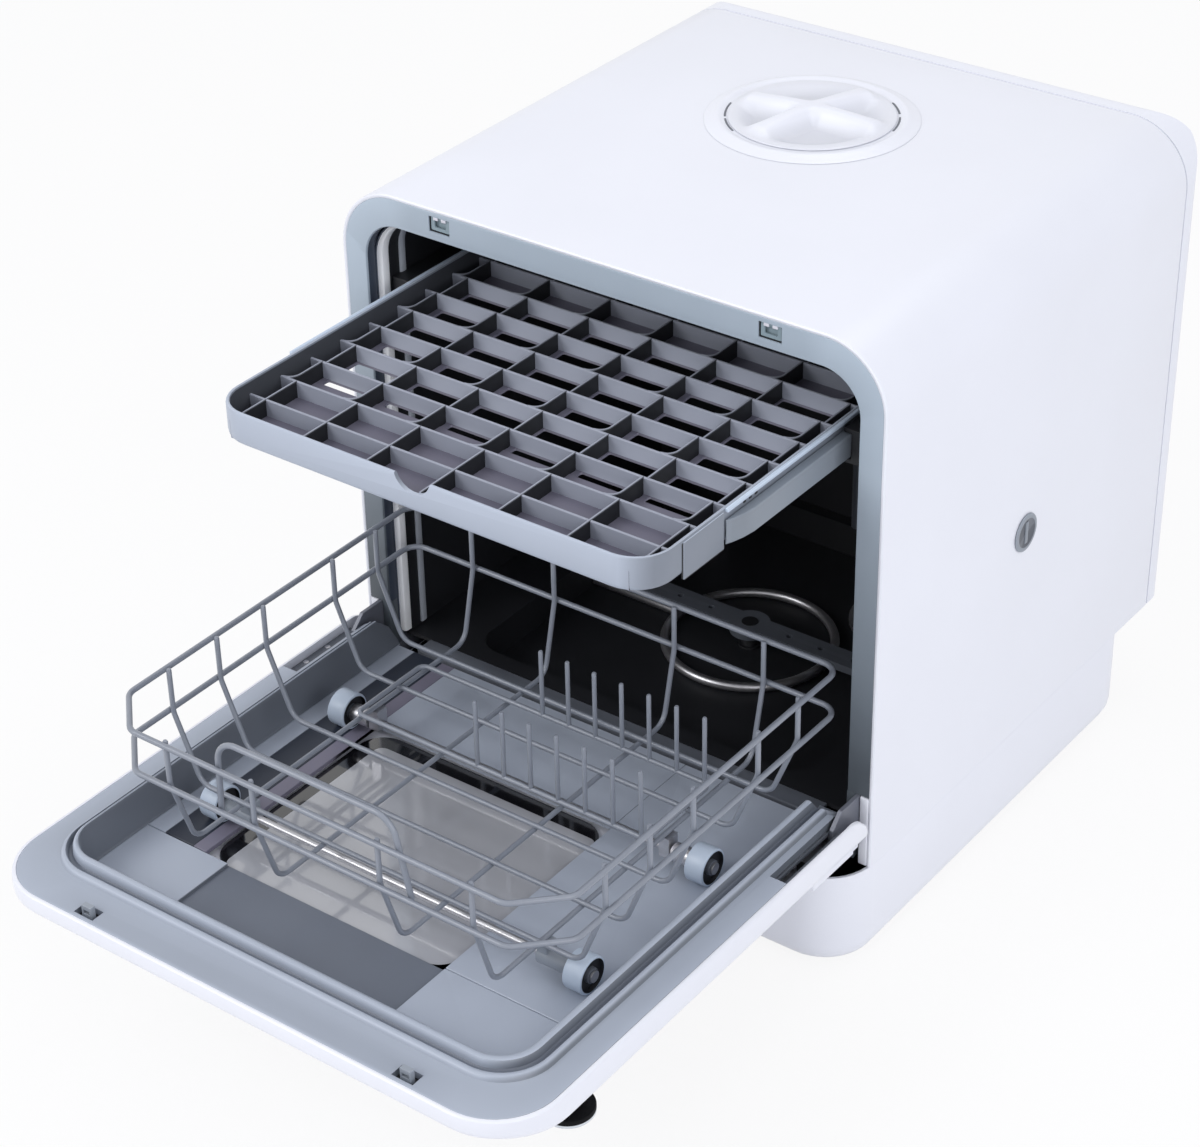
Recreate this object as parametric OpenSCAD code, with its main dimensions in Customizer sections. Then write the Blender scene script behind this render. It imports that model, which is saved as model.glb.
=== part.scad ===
// Countertop dishwasher: cabinet, drop-down door, wire basket on wheels,
// sliding cutlery tray, spray arms and wet system. Millimetres, floor at z = 0.

/* [Cabinet] */
// Outside width of the cabinet
body_w = 425; // [380:1:500]
// Height of the top above the worktop
body_h = 457; // [440:1:520]
// Depth of the wrap-around shell
shell_d = 385; // [380:1:440]
// Extra depth of the rear housing behind the shell
rear_d = 26; // [15:1:60]
// Radius of the long top edges
corner_r = 46; // [25:1:60]
// Wall of the outer shell
shell_t = 3; // [2:0.5:5]
// Height of the plinth top
plinth_h = 76; // [74:1:80]
// How far the plinth stands in front of the front frame
plinth_out = 32; // [20:1:33]
// Depth of the plinth behind the front frame
plinth_d = 365; // [340:1:400]
// Height of each rubber foot
foot_h = 4; // [3:0.5:5]

/* [Opening] */
// Width of the side bars of the front frame
bezel_side = 20; // [17:0.5:24]
// Height of the top bar of the front frame
bezel_top = 23.4; // [21:0.1:30]
// Radius of the upper corners of the opening
opening_r = 28; // [20:1:40]

/* [Door] */
// Thickness of the door at its rim
door_t = 33; // [31:0.5:40]
// Height of the hinge line
hinge_z = 102.25; // [102:0.05:104]
// Radius of the rounded lower end of the door
door_end_r = 22.25; // [20:0.25:22.5]
// Width of the window
window_w = 165; // [120:1:180]
// Height of the window
window_l = 172; // [100:1:176]

/* [Cutlery tray] */
// Space between each side of the tray and the tub wall
tray_side = 20.5; // [19.5:0.5:40]
// Distance from the top of the tub down to the tray floor
tray_drop = 66.6; // [60:0.1:120]
// Depth of the tray
tray_d = 300; // [260:1:305]
// Height of the tray walls
tray_h = 23; // [18:1:26]
// How far the tray stands out of the front frame
tray_out = 182; // [120:1:200]

/* [Basket] */
// Space between each rim of the basket and the tub wall
rim_side = 11; // [10:0.5:23]
// Height of the lowest wires of the basket
base_z = 128; // [127:0.5:135]
// Height of the upper rim wire
rim_z = 213; // [200:1:225]
// Height of the lower rim wire
low_rim_z = 181; // [165:1:190]
// Radius of the basket wires
wire_r = 2; // [1.5:0.1:2.5]
// Radius of the basket wheels
wheel_r = 13; // [9:0.1:13.5]
// Width of the basket wheels
wheel_w = 14; // [8:0.5:16]
// Radius of the wheel axles
axle_r = 2.5; // [2:0.1:3]

/* [Wash system] */
// Length of the lower spray arm from hub to tip
arm_len = 128; // [90:1:132]
// Radius of the filler cap
cap_r = 54; // [40:1:56]

/* [Hidden] */
$fn = 48;
fit = 0.05;
gap = 0.3;
// front frame plane in the shared frame: the origin is under the middle of the open machine
hw = body_w / 2;
hinge_y = hinge_z - 125.5;
door_len = body_h - hinge_z - hinge_y;
yf = (door_len - shell_d - rear_d - 12) / 2;
hinge_x = hw - 11.5;
door_z1 = hinge_z + door_end_r;
door_z0 = door_z1 - door_t;
rim_low_z = door_z0 + 14.5;
open_hw = hw - bezel_side;
open_z = body_h - bezel_top;
floor_z = 101;
channel_z = 98.8;
glass_z = door_z0 + 2.5;
tub_hw = open_hw - 4.5;
tub_z = open_z - 2;
tub_y0 = 16.3;
tub_y1 = 329;
tub_t = 3;
pan_z = 75;
pan_hw = 140;
arm_y = 175;
axle_z = floor_z + wheel_r + gap;
axle_y = -226;
rear_axle_y = -98;
rim_y0 = -297;
rim_y1 = 13;
tray_w = 2 * (tub_hw - tray_side);
cell_w = (tray_w - 31) / 6;
cell_d = 29;
grid_x = -tray_w / 2 + 15.5;
cap_turn = 39;
rail_l = 195;
ribs = floor((tray_d - 55) / cell_d) + 1;
tray_z0 = tub_z - tray_drop;
tray_y0 = -tray_out;
tray_y1 = tray_d - tray_out;
grid_y = tray_y0 + 35;
rail_z = tray_z0 + 7.5;
rail_y0 = tray_y0 + 77;
rim_x = tub_hw - rim_side;
wheel_x = rim_x - 28;
hanger_x = wheel_x - 28;
seat_z = base_z - wire_r - 0.1;
cap_x = -8;
cap_y = 256;
tine_z = base_z + 3 + 2 * (wire_r - 0.2) + gap;
knob_x = hw - 27.5;
knob_y = 87 - door_len;
key_y = [146 - door_len, 176 - door_len];
channel_hw = window_w / 2 + 7.5;
window_y = 118 - door_len;
window_x = -22;
basin_shift = 6;
latch_x = 128;
latch_z = body_h - 11;
pin_r = 3;
sump_x = 75;
sump_y = 262;

// ---- helpers: a profile pushed along one axis ----
module ex_y(a, b) {
  translate([0, b, 0])
    rotate([90, 0, 0])
      linear_extrude(b - a) children();
}

module ex_x(a, b) {
  translate([a, 0, 0])
    rotate([90, 0, 90])
      linear_extrude(b - a) children();
}

module ex_z(a, b) {
  translate([0, 0, a])
    linear_extrude(b - a) children();
}

// rectangle from x0,y0 to x1,y1 with one radius at all corners
module rbox(x0, y0, x1, y1, r) {
  translate([x0 + r, y0])
    square([x1 - x0 - 2 * r, y1 - y0]);
  translate([x0, y0 + r])
    square([x1 - x0, y1 - y0 - 2 * r]);
  for (x = [x0 + r, x1 - r])
    for (y = [y0 + r, y1 - r])
      translate([x, y])
        circle(r);
}

// upright shape with square feet and round shoulders
module arch(w, z0, z1, r) {
  translate([-w, z0])
    square([2 * w, z1 - r - z0]);
  translate([-w + r, z0])
    square([2 * w - 2 * r, z1 - z0]);
  for (s = [-1, 1])
    translate([s * (w - r), z1 - r])
      circle(r);
}

// plan of the door: round corners at the far edge, square at the hinge
module door_plan(w, y0, r) {
  translate([-w, y0 + r])
    square([2 * w, -y0 - r + 6]);
  translate([-w + r, y0])
    square([2 * w - 2 * r, -y0 + 6]);
  for (s = [-1, 1])
    translate([s * (w - r), y0 + r])
      circle(r);
}

// everything in front of the hinge line, plus a round of radius r about it
module door_end(r) {
  translate([-hw - 1, -door_len - 5, door_z0 - 20])
    cube([body_w + 2, door_len + 5 + hinge_y, 90]);
  translate([-hw - 1, hinge_y, hinge_z])
    rotate([0, 90, 0])
      cylinder(h = body_w + 2, r = r);
}

// straight wire between two points
module rod(a, b, r) {
  v = b - a;
  l = norm(v);
  translate(a)
    rotate([0, acos(v[2] / l), atan2(v[1], v[0])])
      translate([0, 0, -r * 0.6])
        cylinder(h = l + r * 1.2, r = r, $fn = 8);
}

// wire through a list of points
module wire(p, r) {
  for (i = [0 : len(p) - 2])
    rod(p[i], p[i + 1], r);
}

// ---- cabinet ----
module plinth_plan(inset) {
  difference() {
    rbox(-hw + inset, -plinth_out + inset, hw - inset, plinth_d - inset, 38 - inset);
  }
}

module base() {
  color("white")
  translate([0, yf, 0])
    difference() {
      union() {
        difference() {
          ex_z(foot_h, plinth_h) plinth_plan(0);
          ex_z(foot_h + 3, plinth_h + 1) plinth_plan(3);
        }
        for (x = [-hw + 45, hw - 45])
          for (y = [18, plinth_d - 45])
            translate([x, y, foot_h])
              cylinder(h = 12, r = 9);
        translate([sump_x - 43, sump_y - 6, foot_h])
          cube([86, 12, 27.7]);
        translate([-120, 196, foot_h])
          cube([12, 60, 12.7]);
        translate([-40, 196, foot_h])
          cube([12, 60, 12.7]);
        for (x = [-125, 125])
          for (y = [45, 303])
            translate([x, y, foot_h])
              cylinder(h = pan_z - tub_t - gap - foot_h, r = 6);
      }
      for (x = [-hw + 45, hw - 45])
        for (y = [18, plinth_d - 45])
          translate([x, y, foot_h - 1])
            cylinder(h = 9, r = 4 + fit);
    }
}

module foot(x, y) {
  color("dimgray")
  translate([x, y + yf, 0]) {
    cylinder(h = foot_h, r = 14);
    cylinder(h = foot_h + 7, r = 4);
  }
}

module outer_shell() {
  color("white")
  translate([0, yf, 0])
    difference() {
      union() {
        difference() {
          ex_y(0, shell_d) arch(hw, plinth_h + gap, body_h, corner_r);
          ex_y(-1, shell_d + 1) arch(hw - shell_t, plinth_h - 1, body_h - shell_t, corner_r - shell_t);
        }
        for (s = [-1, 1])
          translate([s * (hw - 4.85) - 4.85, 0, plinth_h + gap])
            cube([9.7, 12, 131 - plinth_h - gap]);
      }
      translate([cap_x, cap_y, body_h - 10])
        cylinder(h = 20, r = cap_r + 13);
      translate([hw - 8, 184, 241])
        rotate([0, 90, 0])
          cylinder(h = 20, r = 11);
    }
}

module front_frame() {
  color("lightsteelblue")
  translate([0, yf, 0])
    difference() {
      union() {
        difference() {
          ex_y(0.6, 10) arch(hw - shell_t - gap, 131 + gap, body_h - shell_t - gap, corner_r - shell_t - gap);
          ex_y(0, 11) arch(open_hw, 100, open_z, opening_r);
        }
        for (s = [-1, 1])
          translate([s * (open_hw + 5) - 5, 0.6, plinth_h + 1])
            cube([10, 9.4, 56]);
        translate([-open_hw, 0.6, plinth_h + 1])
          cube([2 * open_hw, 9.4, 6]);
        translate([32 - hinge_x, 0.6, plinth_h + 1])
          cube([2 * hinge_x - 64, 9.4, floor_z - plinth_h - 1]);
        translate([32 - hinge_x, 0.6, floor_z - 3])
          cube([2 * hinge_x - 64, tub_y0 - 0.9, 3]);
        for (s = [-1, 1]) {
          for (x = [-9, 7.2])
            translate([s * latch_x + x, 9, latch_z - 3])
              cube([1.8, 14, 6]);
          translate([s * latch_x - 8, 20, latch_z])
            rotate([0, 90, 0])
              cylinder(h = 16, r = 1.5);
        }
      }
      for (s = [-1, 1])
        translate([s * latch_x - 8.5, 0, latch_z - 6])
          cube([17, 12, 11]);
      for (s = [-1, 1])
        translate([s * hinge_x - 1.8, 0, 92])
          cube([3.6, 12, 39.6]);
    }
}

module back_panel() {
  color("white")
  translate([0, yf, 0]) {
    difference() {
      intersection() {
        ex_y(shell_d + gap, shell_d + rear_d) arch(hw, plinth_h + gap, body_h, corner_r);
        ex_z(plinth_h, body_h + 1) rbox(-hw, shell_d - 60, hw, shell_d + rear_d, 18);
        ex_x(-hw - 1, hw + 1) rbox(shell_d - 60, plinth_h - 60, shell_d + rear_d, body_h, 18);
      }
      intersection() {
        ex_y(shell_d - 1, shell_d + rear_d - 3) arch(hw - 3, plinth_h + 3, body_h - 3, corner_r - 3);
        ex_z(plinth_h, body_h + 1) rbox(-hw + 3, shell_d - 60, hw - 3, shell_d + rear_d - 3, 15);
        ex_x(-hw - 1, hw + 1) rbox(shell_d - 60, plinth_h + 3, shell_d + rear_d - 3, body_h - 3, 15);
      }
      for (i = [0 : 6])
        translate([95, shell_d + rear_d - 8, 168 + i * 11])
          cube([60, 12, 5]);
      for (i = [0 : 7])
        translate([-150, shell_d + rear_d - 8, 330 + i * 10])
          cube([90, 12, 4]);
      translate([-120, shell_d, 120])
        rotate([-90, 0, 0])
          cylinder(h = 40, r = 16 + gap);
      translate([-60, shell_d, 120])
        rotate([-90, 0, 0])
          cylinder(h = 40, r = 11 + gap);
      translate([125 - 15.3, shell_d, 120 - 12.3])
        cube([30.6, 40, 24.6]);
    }
    // fan ring on the inside of the vents
    difference() {
      translate([125, shell_d + gap, 203.5])
        rotate([-90, 0, 0])
          cylinder(h = rear_d - 3, r = 42);
      translate([125, shell_d - 1, 203.5])
        rotate([-90, 0, 0])
          cylinder(h = rear_d - 1.7, r = 39);
    }
    // stub the fan turns on
    translate([125, shell_d + 4, 203.5])
      rotate([-90, 0, 0])
        cylinder(h = rear_d - 5, r = 2);
    translate([125, shell_d + rear_d - 5, 203.5])
      rotate([-90, 0, 0])
        cylinder(h = 4, r = 13);
  }
}

module fan_rotor() {
  color("dimgray")
  translate([125, shell_d + 5 + yf, 203.5])
    rotate([-90, 0, 0])
      difference() {
        union() {
          cylinder(h = 12, r = 12);
          for (i = [0 : 6])
            rotate([0, 0, i * 360 / 7])
              translate([9, -1, 1])
                rotate([24, 0, 0])
                  cube([27, 2, 11]);
        }
        translate([0, 0, -1])
          cylinder(h = 14, r = 2 + fit);
      }
}

module tub() {
  color("dimgray")
  translate([0, yf, 0])
    difference() {
      union() {
        ex_y(tub_y0, tub_y1 + tub_t) arch(tub_hw + tub_t, floor_z - tub_t, tub_z + tub_t, opening_r + tub_t);
        translate([-pan_hw - tub_t, 30 - tub_t, pan_z - tub_t])
          cube([2 * pan_hw + 2 * tub_t, 288 + 2 * tub_t, floor_z - pan_z]);
      }
      ex_y(tub_y0 - 1, tub_y1) arch(tub_hw, floor_z, tub_z, opening_r);
      ex_z(pan_z, floor_z + 5) rbox(-pan_hw, 30, pan_hw, 318, 20);
      translate([sump_x, sump_y, pan_z - 10])
        cylinder(h = 20, r = 34);
      translate([0, arm_y, pan_z - 10])
        cylinder(h = 20, r = 9);
    }
}

module tub_seal() {
  color("gray")
  translate([0, yf, 0])
    difference() {
      ex_y(10.3, tub_y0 - gap) arch(open_hw + 2, floor_z, open_z + 2, opening_r + 2);
      ex_y(9, tub_y0 + 1) arch(tub_hw, floor_z - 1, tub_z, opening_r);
    }
}

module sump() {
  color("dimgray")
  translate([sump_x, sump_y + yf, 0])
    difference() {
      union() {
        translate([0, 0, 32])
          cylinder(h = pan_z - tub_t - 32, r = 38);
        translate([-88.4, -20, 40])
          cube([68, 16, 18]);
      }
      translate([0, 0, 35])
        cylinder(h = 60, r = 34);
      translate([-89, -17, 43])
        cube([70, 10, 12]);
    }
}

module filter() {
  color("silver")
  translate([sump_x, sump_y + yf, 0])
    difference() {
      union() {
        translate([0, 0, 38])
          cylinder(h = 40, r = 28);
        translate([0, 0, 75.3])
          cylinder(h = 3, r = 38);
      }
      translate([0, 0, 40])
        cylinder(h = 60, r = 26);
      for (i = [0 : 7])
        rotate([0, 0, i * 45])
          translate([20, -4, 44])
            cube([12, 8, 26]);
    }
  color("silver")
  translate([sump_x - 27, sump_y - 2 + yf, 72])
    cube([54, 4, 9]);
}

module heater() {
  color("silver")
  translate([0, arm_y + yf, pan_z + 3.5 + gap]) {
    rotate_extrude()
      translate([62, 0])
        circle(3.5);
    translate([-pan_hw + gap, 0, 0])
      rotate([0, 90, 0])
        cylinder(h = pan_hw - gap - 62, r = 3.5);
  }
}

module wash_pump() {
  color("dimgray")
  translate([0, yf, 0]) {
    translate([-125, 226, 44])
      rotate([0, 90, 0])
        cylinder(h = 85, r = 27);
    translate([-40, 226, 44])
      rotate([0, 90, 0])
        cylinder(h = 26, r = 25);
    translate([0, arm_y, 30])
      cylinder(h = 46, r = 8.7);
    translate([-27, arm_y - 6, 30])
      cube([30, 14, 16]);
    translate([-27, arm_y - 6, 30])
      cube([12, 60, 16]);
    translate([0, arm_y, 70])
      cylinder(h = 24.5, r = 6);
  }
}

module water_tank() {
  color("gainsboro")
  translate([0, yf, 0])
    difference() {
      union() {
        ex_y(tub_y1 + tub_t + gap, shell_d - 4) rbox(3 - tub_hw, 150, 60, tub_z + 4.4, 14);
        translate([-60, cap_y - 55, tub_z + tub_t + gap])
          cube([104, shell_d - 14 - cap_y + 55, 8]);
        translate([cap_x, cap_y, tub_z + tub_t + gap])
          cylinder(h = 10, r = cap_r + 2);
      }
      ex_y(tub_y1 + tub_t + gap + 3, shell_d - 7) rbox(6 - tub_hw, 153, 57, tub_z + 1.4, 11);
      translate([-57, cap_y - 20, tub_z + tub_t + gap + 2])
        cube([98, shell_d - 24 - cap_y + 20, 4]);
      translate([-50, tub_y1 + tub_t + 6, tub_z - 6.6])
        cube([80, 30, 14]);
      translate([cap_x, cap_y, tub_z + tub_t + gap + 2])
        cylinder(h = 20, r = cap_r - 6);
    }
}

module filler_ring() {
  color("white")
  translate([cap_x, cap_y + yf, 0])
    difference() {
      union() {
        translate([0, 0, body_h + 0.2])
          cylinder(h = 2.2, r = cap_r + 20);
        translate([0, 0, tub_z + tub_t + gap + 10 + gap])
          cylinder(h = body_h + 1 - tub_z - tub_t - 10 - 2 * gap, r = cap_r + 12.5);
      }
      translate([0, 0, body_h - 30])
        cylinder(h = 40, r = cap_r - 5);
      translate([0, 0, body_h - 3])
        cylinder(h = 10, r = cap_r + 1);
    }
}

module filler_cap() {
  color("white")
  translate([cap_x, cap_y + yf, body_h - 3 + gap]) {
    cylinder(h = 6, r = cap_r);
    translate([0, 0, -8])
      cylinder(h = 9, r = cap_r - 5 - gap);
    for (a = [cap_turn - 35, cap_turn + 35])
      rotate([0, 0, a])
        translate([-cap_r + 4, -8, 5])
          cube([2 * cap_r - 8, 16, 9]);
  }
}

module control_board() {
  color("green")
  translate([-hw + 10.5, 60 + yf, 200]) {
    cube([1.6, 150, 120]);
    translate([1.5, 20, 20])
      cube([7, 40, 30]);
    translate([1.5, 90, 60])
      cube([7, 30, 40]);
    for (y = [6, 144])
      for (z = [6, 114])
        translate([1, y, z])
          rotate([0, 90, 0])
            cylinder(h = hw - 10.5 - 1 - tub_hw - tub_t - gap, r = 4);
  }
}

module inlet_valve() {
  color("white")
  translate([-120, yf, 120])
    rotate([-90, 0, 0]) {
      translate([0, 0, shell_d + 2])
        cylinder(h = rear_d - 5.5, r = 20);
      translate([0, 0, shell_d + 2])
        cylinder(h = rear_d + 10, r = 13.2);
    }
}

module drain_spigot() {
  color("gray")
  translate([-60, yf, 120])
    rotate([-90, 0, 0])
      difference() {
        union() {
          translate([0, 0, shell_d + 2])
            cylinder(h = rear_d - 5.5, r = 15);
          translate([0, 0, shell_d + 2])
            cylinder(h = rear_d + 12, r = 9);
        }
        translate([0, 0, shell_d + 6])
          cylinder(h = rear_d + 30, r = 7);
      }
}

module power_inlet() {
  color("black")
  translate([125, shell_d + yf, 120])
    difference() {
      union() {
        translate([-15, 2, -12])
          cube([30, rear_d, 24]);
        translate([-20, 2, -17])
          cube([40, rear_d - 5.5, 34]);
      }
      translate([-12, 8, -9])
        cube([24, rear_d, 18]);
    }
}

module side_plug() {
  color("gray")
  translate([hw, 184 + yf, 241])
    rotate([0, 90, 0])
      difference() {
        union() {
          translate([0, 0, 0.1])
            cylinder(h = 1.6, r = 14);
          translate([0, 0, -4])
            cylinder(h = 5, r = 10.8);
        }
        translate([-8, -1.5, 0.6])
          cube([16, 3, 4]);
      }
}

// fixed hinge plate: it comes out of the frame and carries the pivot pin
module hinge_arm(s) {
  color("silver")
  translate([s * hinge_x, yf, 0])
    difference() {
      ex_x(-1.5, 1.5)
        polygon([[46, 80], [46, 131], [-20, 131], [-30.5, 121], [-30.5, 103], [-28, 97], [-24, 95], [12, 95],
          [12, 80]]);
      translate([-3, hinge_y, hinge_z])
        rotate([0, 90, 0])
          cylinder(h = 6, r = pin_r + 0.02);
    }
  color("silver")
  translate([s * (hinge_x - 4.5) - 3.5, yf + 10 + gap, 80])
    cube([7, 30, 12]);
}

module hinge_pin(s) {
  color("silver")
  translate([s * (hinge_x - 5.5), hinge_y + yf, hinge_z])
    rotate([0, 90, 0])
      translate([0, 0, -7.5])
        cylinder(h = 15, r = pin_r);
}

module tray_guide(s) {
  color("gray")
  translate([0, yf, 0])
    mirror([s < 0 ? 1 : 0, 0, 0]) {
      translate([tray_w / 2 + 8, 20, rail_z - 12])
        cube([tub_hw - tray_w / 2 - 8 - gap, tub_y1 - 29, 24]);
      translate([tray_w / 2 + 2.5, 20, rail_z - 12])
        cube([10, tub_y1 - 29, 3]);
      translate([tray_w / 2 + 2.5, 20, rail_z + 9])
        cube([10, tub_y1 - 29, 3]);
    }
}

module riser_pipe() {
  color("gray")
  translate([0, yf, 0]) {
    translate([0, tub_y1 - 8, floor_z + gap])
      cylinder(h = tub_z - 13.6 - floor_z, r = 5);
    translate([0, arm_y, tub_z - 13.6])
      rotate([-90, 0, 0])
        cylinder(h = tub_y1 - 3 - arm_y, r = 5);
    translate([-6, tub_y1 - 10, 200])
      cube([12, 10 - gap, 20]);
    translate([0, arm_y, tub_z - 27.6])
      cylinder(h = 27.6 - gap, r = 6);
  }
}

module spray_arm(len, post) {
  difference() {
    union() {
      cylinder(h = 7, r = 15);
      for (s = [0, 180])
        rotate([0, 0, s])
          difference() {
            translate([8, -9, 1])
              cube([len - 8, 18, 6]);
            for (i = [0 : 3])
              translate([34 + i * (len - 46) / 3, 0, 3])
                cylinder(h = 9, r = 2.2, $fn = 16);
          }
    }
    translate([0, 0, -1])
      cylinder(h = 10, r = post + fit);
  }
}

module spray_lower() {
  color("gray")
  translate([0, arm_y + yf, 87])
    spray_arm(arm_len, 6);
}

module spray_upper() {
  color("gray")
  translate([0, arm_y + yf, tub_z - 27.1])
    spray_arm(arm_len - 18, 6);
}

module float() {
  color("white")
  translate([-108, 288 + yf, pan_z + gap])
    difference() {
      cylinder(h = 18, r = 13);
      translate([0, 0, -1])
        cylinder(h = 17, r = 11);
    }
}

module latch_hook(s) {
  color("silver")
  translate([s * latch_x, yf, latch_z])
    difference() {
      union() {
        translate([-6, 10.4, -2])
          cube([12, 14, 4]);
        translate([-6, 20, 0])
          rotate([0, 90, 0])
            cylinder(h = 12, r = 4);
        translate([-6, 7, -3.5])
          cube([12, 5, 5.5]);
      }
      translate([-7, 20, 0])
        rotate([0, 90, 0])
          cylinder(h = 14, r = 1.5 + fit);
    }
}

// ---- door ----
module window(grow, a, b) {
  ex_z(a, b)
    rbox(window_x - window_w / 2 - grow, window_y - grow, window_x + window_w / 2 + grow,
      window_y + window_l + grow, 16 + grow);
}

// outline of the door skin across the door: an upright rim, then a slope inwards
module rim_across(t) {
  a = hw - t;
  b = hw - 14.5 - 0.3 * t;
  polygon([[-a, door_z1 + 30], [-a, rim_low_z + 0.03 * t], [-b, door_z0 + 0.73 * t],
    [b, door_z0 + 0.73 * t], [a, rim_low_z + 0.03 * t], [a, door_z1 + 30]]);
}

// the same along the door, with a longer slope at the far edge
module rim_along(t) {
  polygon([[t - door_len, door_z1 + 30], [t - door_len, rim_low_z + 6], [27 - door_len + t / 3, door_z0 + 0.73 * t],
    [-14 - t, door_z0 + 0.73 * t], [-t - 2, rim_low_z], [9, rim_low_z], [9, door_z1 + 30]]);
}

module door_shell() {
  color("white")
  translate([0, yf, 0])
    difference() {
      intersection() {
        union() {
          intersection() {
            ex_z(door_z0, door_z1 - 0.5) door_plan(hw, -door_len, corner_r);
            ex_y(-door_len - 1, 8) rim_across(0);
            ex_x(-hw - 1, hw + 1) rim_along(0);
          }
          for (s = [-1, 1])
            translate([s * (hinge_x - 2) - 6.5, hinge_y - 34, door_z0])
              cube([13, 60, rim_low_z - door_z0 + 3]);
        }
        door_end(door_end_r);
      }
      intersection() {
        ex_z(door_z0 + 2.2, door_z1 + 1) door_plan(hw - 3, -door_len + 3, corner_r - 3);
        ex_y(-door_len - 1, 9) rim_across(3);
        ex_x(-hw - 1, hw + 1) rim_along(3);
      }
      for (s = [-1, 1]) {
        translate([s * (hinge_x - 2) - 4.4, hinge_y - 31.8, door_z0 + 2.2])
          cube([8.8, 70, rim_low_z - door_z0 + 2]);
        translate([s * (hinge_x - 11) - 8.3, hinge_y - 40, door_z0 + 2.2])
          cube([16.6, 80, rim_low_z - door_z0 + 2]);
      }
      window(-4, door_z0 - 1, door_z0 + 3);
      translate([knob_x, knob_y, door_z0 - 1])
        cylinder(h = 5, r = pin_r + fit);
      for (y = key_y)
        translate([knob_x, y, door_z0 - 1])
          cylinder(h = 5, r = 5.2);
    }
}

module door_bead(w, y0, r, t, a, b) {
  ex_z(a, b)
    difference() {
      door_plan(w, y0, r);
      door_plan(w - t, y0 + t, r - t);
    }
}

module door_liner() {
  color("lightsteelblue")
  translate([0, yf, 0])
    difference() {
      intersection() {
        union() {
          difference() {
            union() {
              ex_z(door_z1 - 3.3, door_z1 - 0.3) door_plan(hw - 3 - gap, -door_len + 3 + gap, corner_r - 3 - gap);
              door_bead(open_hw - 2.5, 32 - door_len, 40, 7, door_z1 - 3.3, door_z1 + 4);
              translate([-basin_shift, 0, 0])
                door_bead(open_hw - 13.5 + basin_shift, 44 - door_len, 30, 7, channel_z - 2, door_z1 + 6);
            }
            translate([-basin_shift, 0, 0])
              ex_z(floor_z - 3, door_z1 + 20) door_plan(open_hw - 20.5 + basin_shift, 51 - door_len, 23);
          }
          translate([-basin_shift, 0, 0])
            ex_z(floor_z - 2.2, floor_z) door_plan(open_hw - 19 + basin_shift, 49.5 - door_len, 24);
          translate([window_x - channel_hw - 2.5, 50 - door_len, channel_z - 2])
            cube([2 * channel_hw + 5, door_len - 48, 4.2]);
          for (s = [-1, 1])
            translate([s * (hinge_x - 9) - 6, hinge_y - 20, door_z0 + 4])
              cube([12, 46, door_z1 - door_z0 - 4.5]);
        }
        union() {
          door_end(door_end_r);
          intersection() {
            door_end(28);
            translate([-open_hw + 2.5, -60, hinge_z + 18])
              cube([2 * open_hw - 5, 90, 40]);
          }
        }
      }
      translate([window_x - channel_hw, 53 - door_len, channel_z])
        cube([2 * channel_hw, door_len - 48, 6]);
      window(0, channel_z - 5, channel_z + 5);
      ex_x(-hw, hw)
        polygon([[-17 - gap - 0.1, door_z0 - 10], [-17 - gap - 0.1, door_z0 + 2.2], [-5 - gap - 0.1, rim_low_z],
          [40, rim_low_z], [40, door_z0 - 10]]);
      for (s = [-1, 1])
        translate([s * hinge_x - 2.2, hinge_y - 72, door_z0 + 1])
          cube([4.4, 118, 60]);
      for (s = [-1, 1])
        translate([s * latch_x - 8, -latch_reach() - 5, door_z1 - 8])
          cube([16, 10, 20]);
      for (s = [-1, 1])
        translate([s * (hinge_x - 9) - 8, hinge_y, hinge_z])
          rotate([0, 90, 0])
            cylinder(h = 16, r = pin_r + fit);
    }
}

// distance of the strikes from the front frame when the door is open
function latch_reach() = latch_z - hinge_z - hinge_y;

module door_glass() {
  color("black")
  translate([0, yf, 0])
    window(5, glass_z, glass_z + 2.5);
}

module door_strike(s) {
  color("silver")
  translate([s * latch_x, -latch_reach() + yf, 0])
    difference() {
      translate([-4, -2, door_z1 - 16.8])
        cube([8, 4, 21.8]);
      translate([-5, -2, door_z1 + 5])
        rotate([30, 0, 0])
          cube([10, 8, 8]);
      translate([-2.5, -3, door_z1 - 1])
        cube([5, 6, 2.5]);
    }
}

module control_panel() {
  color("black")
  translate([0, yf, 0])
    difference() {
      ex_z(door_z0 - 1.6, door_z0 - 0.1)
        rbox(knob_x - 13, key_y[0] - 14, knob_x + 13, key_y[1] + 96, 6);
      for (y = key_y)
        translate([knob_x, y, door_z0 - 5])
          cylinder(h = 12, r = 5.2);
    }
}

module control_knob() {
  color("black")
  translate([knob_x, knob_y + yf, 0]) {
    translate([0, 0, 70])
      cylinder(h = 6.5, r = 17);
    translate([0, 0, 76])
      cylinder(h = door_z0 - gap - 76, r = 9);
    translate([0, 0, 80])
      cylinder(h = 24, r = pin_r);
    translate([0, 0, door_z0 + 2.5])
      cylinder(h = 3, r = 5.5);
  }
}

module button(y) {
  color("silver")
  translate([knob_x, y + yf, 0]) {
    translate([0, 0, door_z0 - 3.5])
      cylinder(h = 6, r = 4.6);
    translate([0, 0, door_z0 + 2.5])
      cylinder(h = 1.5, r = 5.8);
  }
}

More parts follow.
